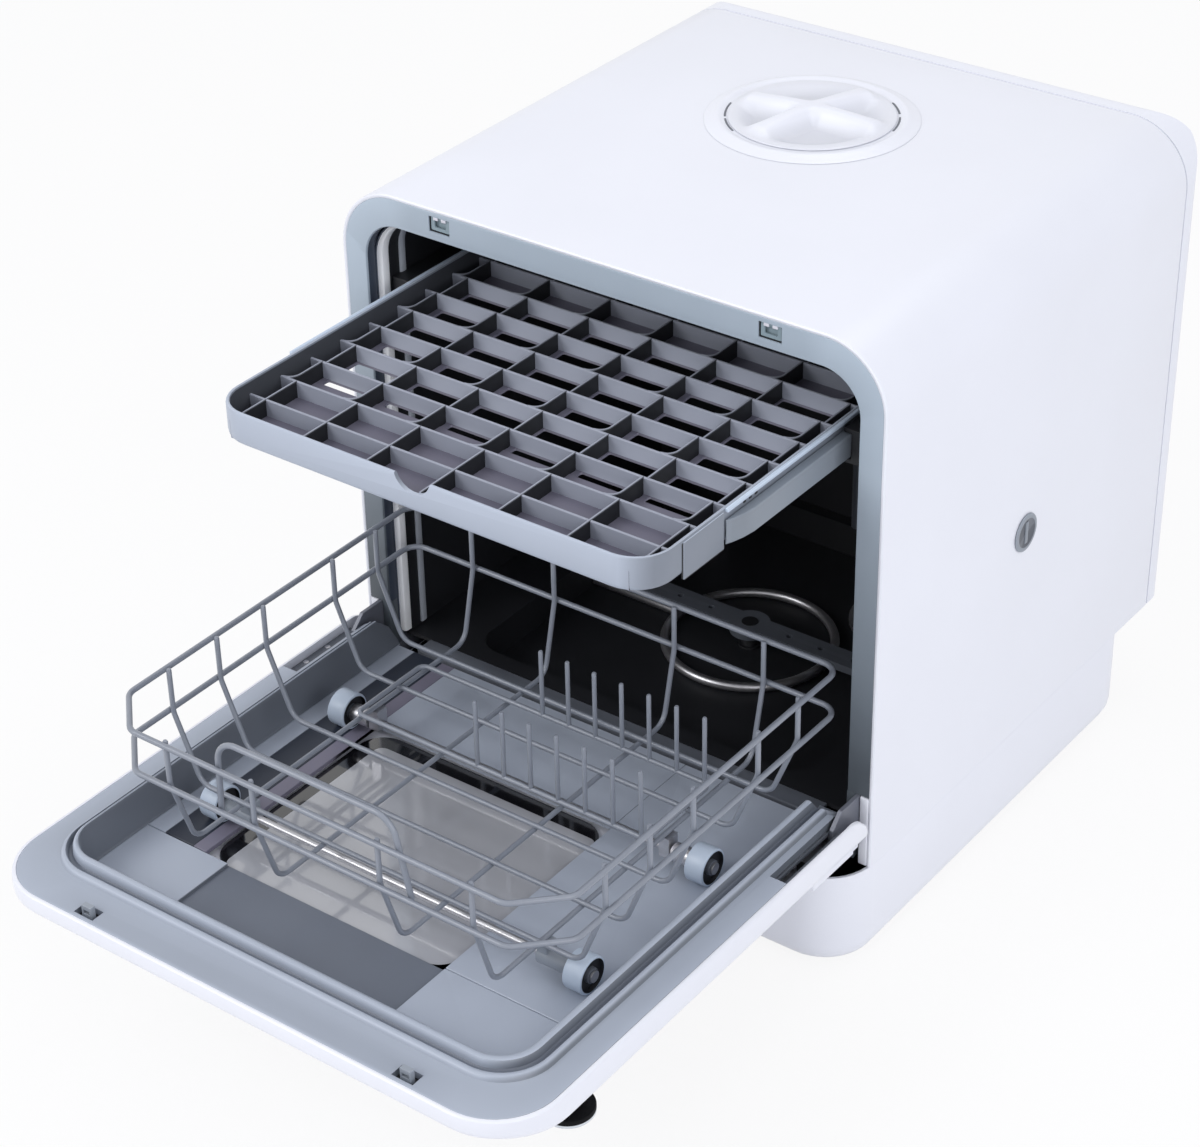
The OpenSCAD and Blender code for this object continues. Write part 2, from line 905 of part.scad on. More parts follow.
// ---- cutlery tray ----
module tray_rail(s) {
  color("gray")
  translate([0, yf, 0])
    mirror([s < 0 ? 1 : 0, 0, 0])
      difference() {
        translate([tray_w / 2 + 0.8, rail_y0, rail_z - 8.5])
          cube([6.7, rail_l, 17]);
        translate([tray_w / 2, rail_y0 - 1, rail_z - 2.5])
          cube([5, rail_l + 2, 5]);
      }
}

module tray_plan(i) {
  rbox(-tray_w / 2 + i, tray_y0 + i, tray_w / 2 - i, tray_y1 - i, 26 - i);
}

module tray() {
  color("slategray")
  translate([0, yf, 0])
    difference() {
      union() {
        difference() {
          ex_z(tray_z0, tray_z0 + tray_h) tray_plan(0);
          ex_z(tray_z0 + 1.6, tray_z0 + tray_h + 1) tray_plan(2.5);
          for (i = [0 : 5])
            for (j = [2 : ribs - 2])
              translate([grid_x + 4 + i * cell_w, grid_y + 4 + (j - 1) * cell_d, tray_z0 - 1])
                cube([cell_w - 8, cell_d - 8, 4]);
        }
        for (i = [0 : 6])
          translate([grid_x + i * cell_w - 1, tray_y0 + 2, tray_z0 + 0.5])
            cube([2, tray_d - 4, 14]);
        for (j = [0 : ribs - 1])
          translate([-tray_w / 2 + 2, grid_y + j * cell_d - 1, tray_z0 + 0.5])
            cube([tray_w - 4, 2, 13]);
        for (s = [-1, 1])
          translate([s * (tray_w / 2 + 2) - 2.5, rail_y0 + 5, rail_z - 2])
            cube([5, tray_y1 - 31 - rail_y0, 4]);
      }
      translate([0, tray_y0 - 1, tray_z0 + tray_h + 3])
        rotate([-90, 0, 0])
          cylinder(h = 5, r = 15);
    }
}

// ---- basket ----
module basket_rim(z) {
  c = 29;
  wire([[-rim_x, rim_y1, z], [-rim_x, rim_y0 + c, z], [-rim_x + c, rim_y0, z], [rim_x - c, rim_y0, z],
    [rim_x, rim_y0 + c, z], [rim_x, rim_y1, z], [-rim_x, rim_y1, z]], wire_r);
}

module basket() {
  zb = base_z;
  color("gray")
  translate([0, yf, 0]) {
    basket_rim(rim_z);
    basket_rim(low_rim_z);
    for (x = [-hanger_x, -50, 50, hanger_x])
      wire([[x, rim_y0 + 3, rim_z], [x, rim_y0 + 3, low_rim_z], [x, rim_y0 + 20, zb],
        [x, rim_y1 - 16, zb], [x, rim_y1 - 3, low_rim_z], [x, rim_y1 - 3, rim_z]], wire_r - 0.2);
    for (y = [-235, -190, -145, -75, -30])
      wire([[-rim_x + 3, y, rim_z], [-rim_x + 3, y, low_rim_z], [-rim_x + 23, y, zb + 3],
        [rim_x - 23, y, zb + 3], [rim_x - 3, y, low_rim_z], [rim_x - 3, y, rim_z]], wire_r - 0.2);
  }
}

module basket_handle() {
  color("gray")
  translate([0, rim_y0 + wire_r + 1.9 + yf, 0])
    wire([[-78, 0, low_rim_z - 1], [-76, 0, rim_z + 16], [-66, 0, rim_z + 21],
      [52, 0, rim_z + 21], [66, 0, rim_z + 12], [74, 0, low_rim_z - 1]], wire_r - 0.4);
}

module plate_tines() {
  color("gray")
  translate([0, yf, 0]) {
    for (y = [-120, -50])
      wire([[-hanger_x - 5, y, tine_z], [hanger_x + 5, y, tine_z]], wire_r - 0.2);
    for (x = [1 - hanger_x, hanger_x - 1])
      wire([[x, -120, tine_z], [x, -50, tine_z]], wire_r - 0.2);
    for (y = [-120, -50])
      for (i = [0 : floor((hanger_x + 12) / 22)])
        wire([[-16 + i * 22, y, tine_z], [-16 + i * 22, y, 186]], wire_r - 0.4);
  }
}

module axle_rod(y) {
  translate([-wheel_x - wheel_w / 2 - 1, y + yf, axle_z])
    rotate([0, 90, 0])
      cylinder(h = 2 * wheel_x + wheel_w + 2, r = axle_r);
  for (s = [-1, 1])
    translate([s * (wheel_x + wheel_w / 2 + 1) - 0.7, y + yf, axle_z])
      rotate([0, 90, 0])
        cylinder(h = 1.4, r = 4);
}

module front_axle() {
  color("silver")
    axle_rod(axle_y);
}

module rear_axle() {
  color("silver") {
    axle_rod(rear_axle_y);
    for (s = [-1, 1])
      translate([s * hanger_x - 4, rear_axle_y - 5 + yf, axle_z - 4])
        cube([8, 10, seat_z + 4 - axle_z]);
    for (s = [-1, 1])
      translate([s * (wheel_x - wheel_w / 2 - 8) - 7.6, rear_axle_y + yf, axle_z])
        rotate([0, 90, 0])
          cylinder(h = 15.2, r = 6.5);
  }
}

module hanger(s) {
  color("gray")
  translate([s * hanger_x, axle_y + yf, 0])
    difference() {
      union() {
        translate([-4, -5, axle_z])
          cube([8, 10, seat_z - axle_z]);
        translate([s > 0 ? -4 : -wheel_x + wheel_w / 2 + 0.4 + hanger_x, 0, axle_z])
          rotate([0, 90, 0])
            cylinder(h = wheel_x - wheel_w / 2 - 0.4 - hanger_x + 4, r = 6.5);
      }
      translate([-40, 0, axle_z])
        rotate([0, 90, 0])
          cylinder(h = 80, r = axle_r + fit);
    }
}

module wheel(s, y) {
  color("gray")
  translate([s * wheel_x, y + yf, axle_z])
    rotate([0, 90, 0])
      difference() {
        translate([0, 0, -wheel_w / 2])
          cylinder(h = wheel_w, r = wheel_r);
        translate([0, 0, -wheel_w])
          cylinder(h = 2 * wheel_w, r = axle_r + fit);
        for (a = [-wheel_w / 2 - 1, wheel_w / 2 - 3])
          translate([0, 0, a])
            difference() {
              cylinder(h = 4, r = wheel_r - 1.8);
              translate([0, 0, -1])
                cylinder(h = 6, r = 5);
            }
      }
}

base();
foot(-hw + 45, 18);  // foot_fl
foot(hw - 45, 18);  // foot_fr
foot(-hw + 45, plinth_d - 45);  // foot_rl
foot(hw - 45, plinth_d - 45);  // foot_rr
outer_shell();
front_frame();
back_panel();
tub();
tub_seal();
sump();
filter();
heater();
wash_pump();
water_tank();
filler_ring();
filler_cap();
fan_rotor();
control_board();
inlet_valve();
drain_spigot();
power_inlet();
side_plug();
hinge_arm(-1);  // hinge_arm_l
hinge_arm(1);  // hinge_arm_r
hinge_pin(-1);  // hinge_pin_l
hinge_pin(1);  // hinge_pin_r
tray_guide(-1);  // tray_guide_l
tray_guide(1);  // tray_guide_r
riser_pipe();
spray_lower();
spray_upper();
float();
latch_hook(-1);  // latch_hook_l
latch_hook(1);  // latch_hook_r
door_shell();
door_liner();
door_glass();
door_strike(-1);  // door_strike_l
door_strike(1);  // door_strike_r
control_panel();
control_knob();
button(key_y[0]);  // button_power
button(key_y[1]);  // button_start
tray_rail(-1);  // tray_rail_l
tray_rail(1);  // tray_rail_r
tray();
basket();
basket_handle();
plate_tines();
front_axle();
rear_axle();
hanger(-1);  // hanger_l
hanger(1);  // hanger_r
wheel(-1, axle_y);  // wheel_fl
wheel(1, axle_y);  // wheel_fr
wheel(-1, rear_axle_y);  // wheel_rl
wheel(1, rear_axle_y);  // wheel_rr
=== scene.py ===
import bmesh
import bpy
from math import cos, pi, radians, sin, sqrt, tan
from mathutils import Matrix, Vector


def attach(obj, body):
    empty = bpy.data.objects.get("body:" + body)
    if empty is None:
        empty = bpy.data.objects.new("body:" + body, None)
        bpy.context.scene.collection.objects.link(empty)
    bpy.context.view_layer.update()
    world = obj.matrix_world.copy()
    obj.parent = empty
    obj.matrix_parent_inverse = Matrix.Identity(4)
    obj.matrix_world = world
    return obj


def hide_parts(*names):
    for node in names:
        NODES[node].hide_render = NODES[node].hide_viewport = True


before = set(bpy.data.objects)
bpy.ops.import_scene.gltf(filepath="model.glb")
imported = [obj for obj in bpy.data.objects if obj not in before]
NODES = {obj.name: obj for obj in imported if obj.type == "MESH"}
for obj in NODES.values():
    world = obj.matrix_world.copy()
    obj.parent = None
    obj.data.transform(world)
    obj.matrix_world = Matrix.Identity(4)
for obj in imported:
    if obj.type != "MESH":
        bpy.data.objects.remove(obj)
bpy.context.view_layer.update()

FRAME_Y = -22.5          # front frame plane in the row frame, mm


def to_frame(p):
    """a point given in mm from the front frame plane, as metres in the row frame"""
    return Vector((p[0] / 1000, (p[1] + FRAME_Y) / 1000, p[2] / 1000))


# ------------------------------------------------------------ materials
def mat(name, col, rough=0.4, var=0.03, scale=40, bump=0.05, bscale=900, metal=0.0, coat=0.0,
        coat_rough=0.1, edge=0.0, spec=0.5, streak=None, crease_shade=0.0, shade=1.0, shade_below=None):
    """moulded or metal surface: noise in colour and gloss, fine bump, painted highlights on edges, painted
    shade in corners

    var and scale: strength and scale of the colour noise; bump and bscale: of the grain
    edge paints highlights on outer edges and crease_shade paints shade into inner corners, shade paints shade
    on faces turned to +x, streak stretches the noise along the axes, shade_below = (z0, z1, low) paints shade
    that darkens towards z0
    """
    material = bpy.data.materials.new(name)
    material.use_nodes = True
    tree = material.node_tree
    shader = tree.nodes["Principled BSDF"]
    link = tree.links.new

    def ramp_of(socket, x0, x1, y0=0.0, y1=1.0):
        """socket's value taken from the range x0 to x1 to the range y0 to y1"""
        n = tree.nodes.new("ShaderNodeMapRange")
        n.inputs["From Min"].default_value = x0
        n.inputs["From Max"].default_value = x1
        n.inputs["To Min"].default_value = y0
        n.inputs["To Max"].default_value = y1
        link(socket, n.inputs["Value"])
        return n.outputs["Result"]

    def mix_to(a, factor, rgb):
        """colour a with factor of the colour rgb mixed in"""
        n = tree.nodes.new("ShaderNodeMix")
        n.data_type = "RGBA"
        n.inputs["B"].default_value = list(rgb) + [1]
        link(factor, n.inputs["Factor"])
        link(a, n.inputs["A"])
        return n.outputs["Result"]

    at_point = tree.nodes.new("ShaderNodeTexCoord").outputs["Object"]
    if streak:
        stretch = tree.nodes.new("ShaderNodeMapping")
        stretch.inputs["Scale"].default_value = streak
        link(at_point, stretch.inputs["Vector"])
        at_point = stretch.outputs["Vector"]
    cloud = tree.nodes.new("ShaderNodeTexNoise")
    cloud.inputs["Scale"].default_value = scale
    cloud.inputs["Detail"].default_value = 4
    link(at_point, cloud.inputs["Vector"])
    ramp = tree.nodes.new("ShaderNodeValToRGB")
    for k, at, f in ((0, 0.3, 1 - var), (1, 0.7, 1 + var)):
        ramp.color_ramp.elements[k].position = at
        ramp.color_ramp.elements[k].color = [min(1, c * f) for c in col] + [1]
    link(cloud.outputs["Fac"], ramp.inputs["Fac"])
    colour = ramp.outputs["Color"]
    geo = tree.nodes.new("ShaderNodeNewGeometry")
    # painted highlight: a lighter colour mixed in on outer edges
    if edge:
        light = [min(1, c * (1 + edge) + 0.02) for c in col]
        colour = mix_to(colour, ramp_of(geo.outputs["Pointiness"], 0.5, 0.58), light)
    # painted shade: a darker colour mixed into inner corners
    if crease_shade:
        dark = [c * 0.55 for c in col]
        colour = mix_to(colour, ramp_of(geo.outputs["Pointiness"], 0.5, 0.42, 0, crease_shade), dark)
    # painted shade on faces turned to +x
    if shade < 1:
        axes = tree.nodes.new("ShaderNodeSeparateXYZ")
        link(geo.outputs["Normal"], axes.inputs["Vector"])
        colour = mix_to(colour, ramp_of(axes.outputs["X"], 0.2, 0.85), [c * shade for c in col])
    # painted shade: darker towards the height z0
    if shade_below:
        z0, z1, low = shade_below
        axes = tree.nodes.new("ShaderNodeSeparateXYZ")
        link(tree.nodes.new("ShaderNodeTexCoord").outputs["Object"], axes.inputs["Vector"])
        part = ramp_of(axes.outputs["Z"], z0 / 1000, z1 / 1000, 1, 0)
        colour = mix_to(colour, part, [c * low for c in col])
    link(colour, shader.inputs["Base Color"])
    gloss = ramp_of(cloud.outputs["Fac"], 0, 1, max(0.02, rough - 0.06), min(1, rough + 0.06))
    link(gloss, shader.inputs["Roughness"])
    if bump:
        grain = tree.nodes.new("ShaderNodeTexNoise")
        grain.inputs["Scale"].default_value = bscale
        grain.inputs["Detail"].default_value = 2
        link(at_point, grain.inputs["Vector"])
        bp = tree.nodes.new("ShaderNodeBump")
        bp.inputs["Strength"].default_value = bump
        bp.inputs["Distance"].default_value = 0.0004
        link(grain.outputs["Fac"], bp.inputs["Height"])
        link(bp.outputs["Normal"], shader.inputs["Normal"])
    shader.inputs["Metallic"].default_value = metal
    shader.inputs["Coat Weight"].default_value = coat
    shader.inputs["Coat Roughness"].default_value = coat_rough
    shader.inputs["Specular IOR Level"].default_value = spec
    return material


# edge in the materials below paints highlights on outer edges
WHITE = mat("white_moulded", (0.80, 0.815, 0.87), 0.34, 0.012, 9, 0.05, 1400, coat=0.12, coat_rough=0.25)
WHITE_MATT = mat("white_matt_moulded", (0.74, 0.74, 0.80), 0.5, 0.02, 20, 0.08, 1200)
# painted highlights on the bezel's edges, and painted shade that darkens it towards the bottom
BEZEL = mat("grey_bezel", (0.40, 0.47, 0.54), 0.42, 0.03, 14, 0.07, 1500, edge=0.2, shade_below=(150, 450, 0.20))
BEZEL_INSIDE = mat("bezel_inside", (0.045, 0.058, 0.085), 0.45, 0.05, 14, 0.07, 1500)
# painted highlights on edges, painted shade in creases and on faces turned to +x
LINER = mat("grey_liner", (0.37, 0.41, 0.48), 0.40, 0.03, 12, 0.07, 1500, edge=0.22, crease_shade=0.3, shade=0.42)
CHANNEL = mat("grey_liner_low", (0.15, 0.17, 0.21), 0.45, 0.05, 14, 0.07, 1500)
STRIP_GREY = mat("grey_liner_strip", (0.20, 0.19, 0.25), 0.45, 0.05, 14, 0.07, 1500)
# the dark strip is painted shadow where a lower floor lies in shade
STRIP_SHADOW = mat("liner_strip_painted_shadow", (0.025, 0.032, 0.05), 0.45, 0.05, 14, 0.07, 1500)
# tray grey with painted highlights on edges and painted shade in creases and on faces turned to +x; the
# inside is a darker copy of it, painted shade inside the tray
TRAY_GREY = mat("tray_moulded", (0.35, 0.39, 0.46), 0.42, 0.04, 20, 0.07, 1500, edge=0.3, crease_shade=0.3, shade=0.6)
TRAY_INSIDE_SHADED = mat("tray_inside_painted_shade", (0.16, 0.175, 0.21), 0.5, 0.04, 20, 0.07, 1500, edge=0.4, shade=0.25)
# ribs darker than the tray and near black on faces turned to +x: painted shade in the grid, with painted
# highlights on their top edges
RIB_GREY = mat("tray_rib", (0.21, 0.225, 0.268), 0.5, 0.05, 25, 0.08, 1500, edge=0.5, spec=0.3, shade=0.07)
TRAY_FLOOR = mat("tray_floor", (0.15, 0.145, 0.19), 0.45, 0.06, 25, 0.08, 1500)
DARK = mat("dark_moulded", (0.012, 0.013, 0.016), 0.5, 0.15, 20, 0.1, 1200)
BLACK = mat("black_gloss_moulded", (0.008, 0.008, 0.01), 0.15, 0.1, 30, 0.02, 1600, coat=0.5)
KNOB = mat("knob_black", (0.004, 0.004, 0.005), 0.6, 0.1, 30, 0.02, 1600, spec=0.12)
MID_GREY = mat("mid_grey_moulded", (0.22, 0.245, 0.28), 0.42, 0.05, 25, 0.08, 1500, edge=0.3)
MID_DARK = mat("mid_dark_moulded", (0.09, 0.10, 0.12), 0.45, 0.06, 25, 0.08, 1500, edge=0.3)
# edge on the rails and runners paints highlights along their top edges
RAIL_GREY = mat("rail_moulded", (0.36, 0.42, 0.50), 0.38, 0.05, 25, 0.07, 1500, edge=0.5)
RUNNER = mat("runner_moulded", (0.107, 0.123, 0.143), 0.4, 0.05, 25, 0.07, 1500, edge=0.9)
CATCH = mat("catch_plate", (0.19, 0.25, 0.28), 0.4, 0.05, 25, 0.07, 1500, edge=0.3)
# the cap darkens towards its low pockets: painted shade
CAP_WHITE = mat("white_cap", (0.80, 0.815, 0.87), 0.36, 0.012, 9, 0.05, 1400, shade_below=(455.6, 464, 0.80))
WIRE = mat("coated_wire", (0.20, 0.22, 0.26), 0.36, 0.08, 60, 0.12, 700, coat=0.3, edge=0.2)
STEEL = mat("brushed_steel", (0.55, 0.55, 0.58), 0.32, 0.08, 30, 0.15, 600, metal=0.9, streak=(1, 1, 12))
PLATE = mat("hinge_plate_steel", (0.17, 0.18, 0.215), 0.42, 0.06, 30, 0.1, 700, metal=0.25)
RUBBER = mat("dark_rubber", (0.02, 0.02, 0.022), 0.75, 0.1, 60, 0.2, 900)
SEAL_WHITE = mat("pale_seal_ring", (0.97, 0.98, 1.0), 0.5, 0.02, 40, 0.1, 900)
BEAD_GREY = mat("tub_bead", (0.45, 0.48, 0.53), 0.5, 0.04, 40, 0.1, 900)
PANE = mat("window_glass", (0.42, 0.43, 0.46), 0.12, 0.06, 5, 0.0, coat=1.0, coat_rough=0.04, spec=0.8)
PANE_BORDER = mat("window_border", (0.006, 0.006, 0.008), 0.12, 0.05, 20, 0.0, coat=1.0, coat_rough=0.04)
GREEN = mat("board_laminate", (0.03, 0.16, 0.07), 0.4, 0.15, 80, 0.1, 900, coat=0.3)
TANK = mat("tank_moulded", (0.62, 0.65, 0.68), 0.35, 0.04, 15, 0.05, 900)


def whiten(tree, surface, white, share):
    """mix share of plain white into what camera, mirror and glass rays see"""
    path = tree.nodes.new("ShaderNodeLightPath")
    seen = path.outputs["Is Camera Ray"]
    for ray in ("Is Glossy Ray", "Is Transmission Ray"):
        n = tree.nodes.new("ShaderNodeMath")
        n.operation = "MAXIMUM"
        tree.links.new(seen, n.inputs[0])
        tree.links.new(path.outputs[ray], n.inputs[1])
        seen = n.outputs[0]
    part = tree.nodes.new("ShaderNodeMath")
    part.operation = "MULTIPLY"
    part.inputs[1].default_value = share
    tree.links.new(seen, part.inputs[0])
    mix = tree.nodes.new("ShaderNodeMixShader")
    tree.links.new(part.outputs[0], mix.inputs["Fac"])
    tree.links.new(surface, mix.inputs[1])
    tree.links.new(white, mix.inputs[2])
    return mix.outputs[0]


FLOOR_PALE = mat("pale_floor", (0.86, 0.86, 0.87), 0.6, 0.01, 6, 0.02, 300)
FLOOR_WHITE = 0.87      # the rest of the floor's surface keeps the shadow
tree = FLOOR_PALE.node_tree
plain = tree.nodes.new("ShaderNodeEmission")
plain.inputs["Color"].default_value = (1, 1, 1, 1)
tree.links.new(whiten(tree, tree.nodes["Principled BSDF"].outputs[0], plain.outputs[0], FLOOR_WHITE),
               tree.nodes["Material Output"].inputs["Surface"])


# ------------------------------------------------------------ mesh helpers
LEAST_R = 0.05      # a corner never has less radius than this, mm


def mirrored(side, x0, x1):
    """x range between x0 and x1 on the right (side 1) or the left (side -1), in rising order"""
    return sorted((side * x0, side * x1))


def round_rect(x0, y0, x1, y1, r, n=8):
    """points of a rounded rectangle, corner by corner; r is one radius or four"""
    if not isinstance(r, (list, tuple)):
        r = [r] * 4
    corners = ((x0, y0, 1, 1, 180), (x1, y0, -1, 1, 270), (x1, y1, -1, -1, 0), (x0, y1, 1, -1, 90))
    out = []
    for (cx, cy, sx, sy, start), rad in zip(corners, r):
        rad = max(rad, LEAST_R)
        for i in range(n + 1):
            a = radians(start + 90 * i / n)
            out.append((cx + sx * rad + rad * cos(a), cy + sy * rad + rad * sin(a)))
    return out


def arch(w, z0, z1, r, n=12):
    """upright outline of half width w from z0 to z1, open below, with two round shoulders"""
    r = max(r, LEAST_R)
    out = [(-w, z0)]
    for i in range(n + 1):
        a = radians(180 - 90 * i / n)
        out.append((-w + r + r * cos(a), z1 - r + r * sin(a)))
    for i in range(n + 1):
        a = radians(90 - 90 * i / n)
        out.append((w - r + r * cos(a), z1 - r + r * sin(a)))
    return out + [(w, z0)]


def flat(plan, z):
    """a plan's points (x, y) at height z"""
    return [(x, y, z) for x, y in plan]


def upright(outline, y):
    """points (x, z) of an upright outline at depth y"""
    return [(x, y, z) for x, z in outline]


def fillet(pts, radius, n=6, closed=False):
    """polyline with its corners rounded to radius (or one radius for each point)"""
    points = [Vector(p) for p in pts]
    last = len(points) - 1
    out = []
    for i, p in enumerate(points):
        r = radius[i] if isinstance(radius, list) else radius
        if (not closed and i in (0, last)) or r <= 0:
            out.append(p)
            continue
        a, b = points[i - 1] - p, points[(i + 1) % (last + 1)] - p
        room = 0.48 * min(a.length, b.length)
        a.normalize()
        b.normalize()
        angle = a.angle(b)
        if angle > pi - 0.02:
            out.append(p)
            continue
        back_off = min(r / tan(angle / 2), room)
        centre = p + (a + b).normalized() * (back_off * tan(angle / 2) / sin(angle / 2))
        start, end = p + a * back_off - centre, p + b * back_off - centre
        axis = start.cross(end).normalized()
        sweep = start.angle(end)
        for k in range(n + 1):
            out.append(centre + Matrix.Rotation(sweep * k / n, 3, axis) @ start)
    return out


class Mesh:
    """points in mm, faces and the material of each face, gathered until done() makes the piece"""

    def __init__(self, name, *mats):
        self.name = name
        self.mats = mats
        self.points = []
        self.faces = []
        self.face_mats = []

    def add(self, ps):
        """add points, give their numbers"""
        i = len(self.points)
        self.points += [to_frame(p) for p in ps]
        return list(range(i, len(self.points)))

    def face(self, ids, mi=0):
        self.faces.append(ids)
        self.face_mats.append(mi)

    def loft(self, loops, close=True, ring=False, cap0=False, cap1=False, mi=0, mis=None):
        """skin over loops of equally many points; mis gives a material for each strip

        close joins each loop's ends, ring joins the last loop to the first
        """
        ids = [self.add(loop) for loop in loops]
        k = len(ids[0])
        pairs = list(zip(ids, ids[1:]))
        if ring:
            pairs.append((ids[-1], ids[0]))
        for j, (a, b) in enumerate(pairs):
            strip = mis[j] if mis else mi
            for i in range(k if close else k - 1):
                after = (i + 1) % k
                self.face([a[i], a[after], b[after], b[i]], strip)
        if ring and not close:
            self.face([loop[0] for loop in ids], mi)
            self.face([loop[-1] for loop in ids][::-1], mi)
        if cap0:
            self.face(ids[0][::-1], mis[0] if mis else mi)
        if cap1:
            self.face(ids[-1], mis[-1] if mis else mi)
        return self

    def box(self, a, b, mi=0, r=0.0):
        """box between two corner points, its edges rounded to r"""
        x0, y0, z0 = a
        x1, y1, z1 = b
        if r:
            rise = ((z0, r), (z0 + r * 0.3, r * 0.3), (z0 + r, 0),
                    (z1 - r, 0), (z1 - r * 0.3, r * 0.3), (z1, r))
            loops = []
            for z, i in rise:
                plan = round_rect(x0 + i, y0 + i, x1 - i, y1 - i, max(r - i, 0.1), 3)
                loops.append(flat(plan, z))
            return self.loft(loops, cap0=True, cap1=True, mi=mi)
        base = ((x0, y0), (x1, y0), (x1, y1), (x0, y1))
        ids = self.add(flat(base, z0) + flat(base, z1))
        for q in ((3, 2, 1, 0), (4, 5, 6, 7), (0, 1, 5, 4), (1, 2, 6, 5), (2, 3, 7, 6), (3, 0, 4, 7)):
            self.face([ids[k] for k in q], mi)
        return self

    def tube(self, path, r, n=10, mi=0, closed=False):
        """round bar of radius r along a path, or round a closed one; free ends are rounded"""
        points = [Vector(p) for p in path]
        m = len(points)
        along = []
        for i in range(m):
            a = points[i - 1] if (i or closed) else points[0]
            b = points[(i + 1) % m] if (i < m - 1 or closed) else points[-1]
            along.append((b - a).normalized())
        turns = [2 * pi * k / n for k in range(n)]
        u = along[0].orthogonal().normalized()
        loops = []
        for i in range(m):
            if i:
                u = along[i - 1].rotation_difference(along[i]) @ u
            u = (u - along[i] * u.dot(along[i])).normalized()
            w = along[i].cross(u)
            loops.append([points[i] + (u * cos(t) + w * sin(t)) * r for t in turns])
        if closed:
            ids = [self.add(loop) for loop in loops]
            twist = min(range(n), key=lambda q: (loops[-1][0] - loops[0][q]).length)
            for j in range(m):
                a, b = ids[j], ids[(j + 1) % m]
                shift = twist if j == m - 1 else 0
                for i in range(n):
                    self.face([a[i], a[(i + 1) % n], b[(i + 1 + shift) % n], b[(i + shift) % n]], mi)
            return self

        def rounded(centre, outwards, loop):
            return [centre + outwards * (r * 0.5) + (q - centre) * 0.75 for q in loop]

        first = rounded(points[0], -along[0], loops[0])
        end = rounded(points[-1], along[-1], loops[-1])
        loops = [first] + loops + [end]
        return self.loft(loops, cap0=True, cap1=True, mi=mi)

    def lathe(self, c, prof, axis="z", n=64, mi=0, mis=None):
        """prof is (radius, height) pairs, turned about an axis through c"""
        loops = []
        for rad, h in prof:
            loop = []
            for k in range(n):
                a = 2 * pi * k / n
                x, y = rad * cos(a), rad * sin(a)
                loop.append({"z": (c[0] + x, c[1] + y, c[2] + h), "x": (c[0] + h, c[1] + x, c[2] + y),
                             "y": (c[0] + y, c[1] + h, c[2] + x)}[axis])
            loops.append(loop)
        return self.loft(loops, cap0=prof[0][0] > 0.01, cap1=prof[-1][0] > 0.01, mi=mi, mis=mis)

    def raw(self):
        """the object as it stands, with its faces turned outwards"""
        me = bpy.data.meshes.new(self.name)
        me.from_pydata(self.points, [], self.faces)
        for material in self.mats:
            me.materials.append(material)
        me.polygons.foreach_set("material_index", self.face_mats)
        bm = bmesh.new()
        bm.from_mesh(me)
        bmesh.ops.remove_doubles(bm, verts=bm.verts, dist=1e-6)
        bmesh.ops.recalc_face_normals(bm, faces=bm.faces)
        bm.to_mesh(me)
        bm.free()
        o = bpy.data.objects.new(self.name, me)
        bpy.context.scene.collection.objects.link(o)
        return o

    def done(self, body, *repl, smooth=32, slot=None, cuts=()):
        """make the piece, cut it, shade it and let it ride on a body; it replaces the CAD nodes in repl"""
        o = self.raw()
        if cuts:
            cutters = [c.raw() for c in cuts]
            for cutter in cutters:
                md = o.modifiers.new("cut", "BOOLEAN")
                md.operation = "DIFFERENCE"
                md.solver = "EXACT"
                md.object = cutter
            dg = bpy.context.evaluated_depsgraph_get()
            cut_mesh = bpy.data.meshes.new_from_object(o.evaluated_get(dg))
            o.modifiers.clear()
            o.data = cut_mesh
            for cutter in cutters:
                bpy.data.objects.remove(cutter)
        o.data.shade_smooth()
        o.data.set_sharp_from_angle(angle=radians(smooth))
        if repl:
            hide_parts(*repl)
        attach(o, body)
        return o


def cutter_box(a, b):
    return Mesh("cutter").box(a, b)


def cad(material, *names, bevel=0.0):
    """give CAD nodes a material and soft edges"""
    for name in names:
        o = NODES[name]
        o.data.materials.clear()
        o.data.materials.append(material)
        if bevel:
            weld = o.modifiers.new("weld", "WELD")
            weld.merge_threshold = 1e-5
            soften = o.modifiers.new("bevel", "BEVEL")
            soften.width = bevel / 1000
            soften.segments = 2
            soften.limit_method = "ANGLE"
            soften.angle_limit = radians(40)


# ------------------------------------------------------------ camera, light and floor
AZIMUTH, ELEVATION, ROLL = radians(37.112), radians(32.603), radians(-1.196)
TARGET = Vector((-0.04867, 0.03758, 0.17783))
DISTANCE = 2.04351      # m from the target
SENSOR = 36             # mm
FOCAL = 2948.09 / 1200  # focal length over picture width
back = Vector((sin(AZIMUTH) * cos(ELEVATION), -cos(AZIMUTH) * cos(ELEVATION), sin(ELEVATION)))
level = (-back).cross(Vector((0, 0, 1))).normalized()
up = level.cross(-back)
right = level * cos(ROLL) + up * sin(ROLL)
above = up * cos(ROLL) - level * sin(ROLL)
lens = bpy.data.cameras.new("camera")
lens.sensor_fit = "HORIZONTAL"
lens.sensor_width = SENSOR
lens.lens = FOCAL * SENSOR
lens.clip_end = 50
camera = bpy.data.objects.new("camera", lens)
bpy.context.scene.collection.objects.link(camera)
camera.matrix_world = Matrix((right, above, back)).transposed().to_4x4()
camera.location = TARGET + back * DISTANCE
bpy.context.scene.camera = camera


def lamp(name, loc, aim, size, power, col=(1, 1, 1)):
    """round soft lamp at loc, turned to aim"""
    d = bpy.data.lights.new(name, "AREA")
    d.shape = "DISK"
    d.size = size
    d.energy = power
    d.color = col
    o = bpy.data.objects.new(name, d)
    bpy.context.scene.collection.objects.link(o)
    o.location = loc
    o.rotation_euler = (Vector(aim) - Vector(loc)).to_track_quat("-Z", "Y").to_euler()


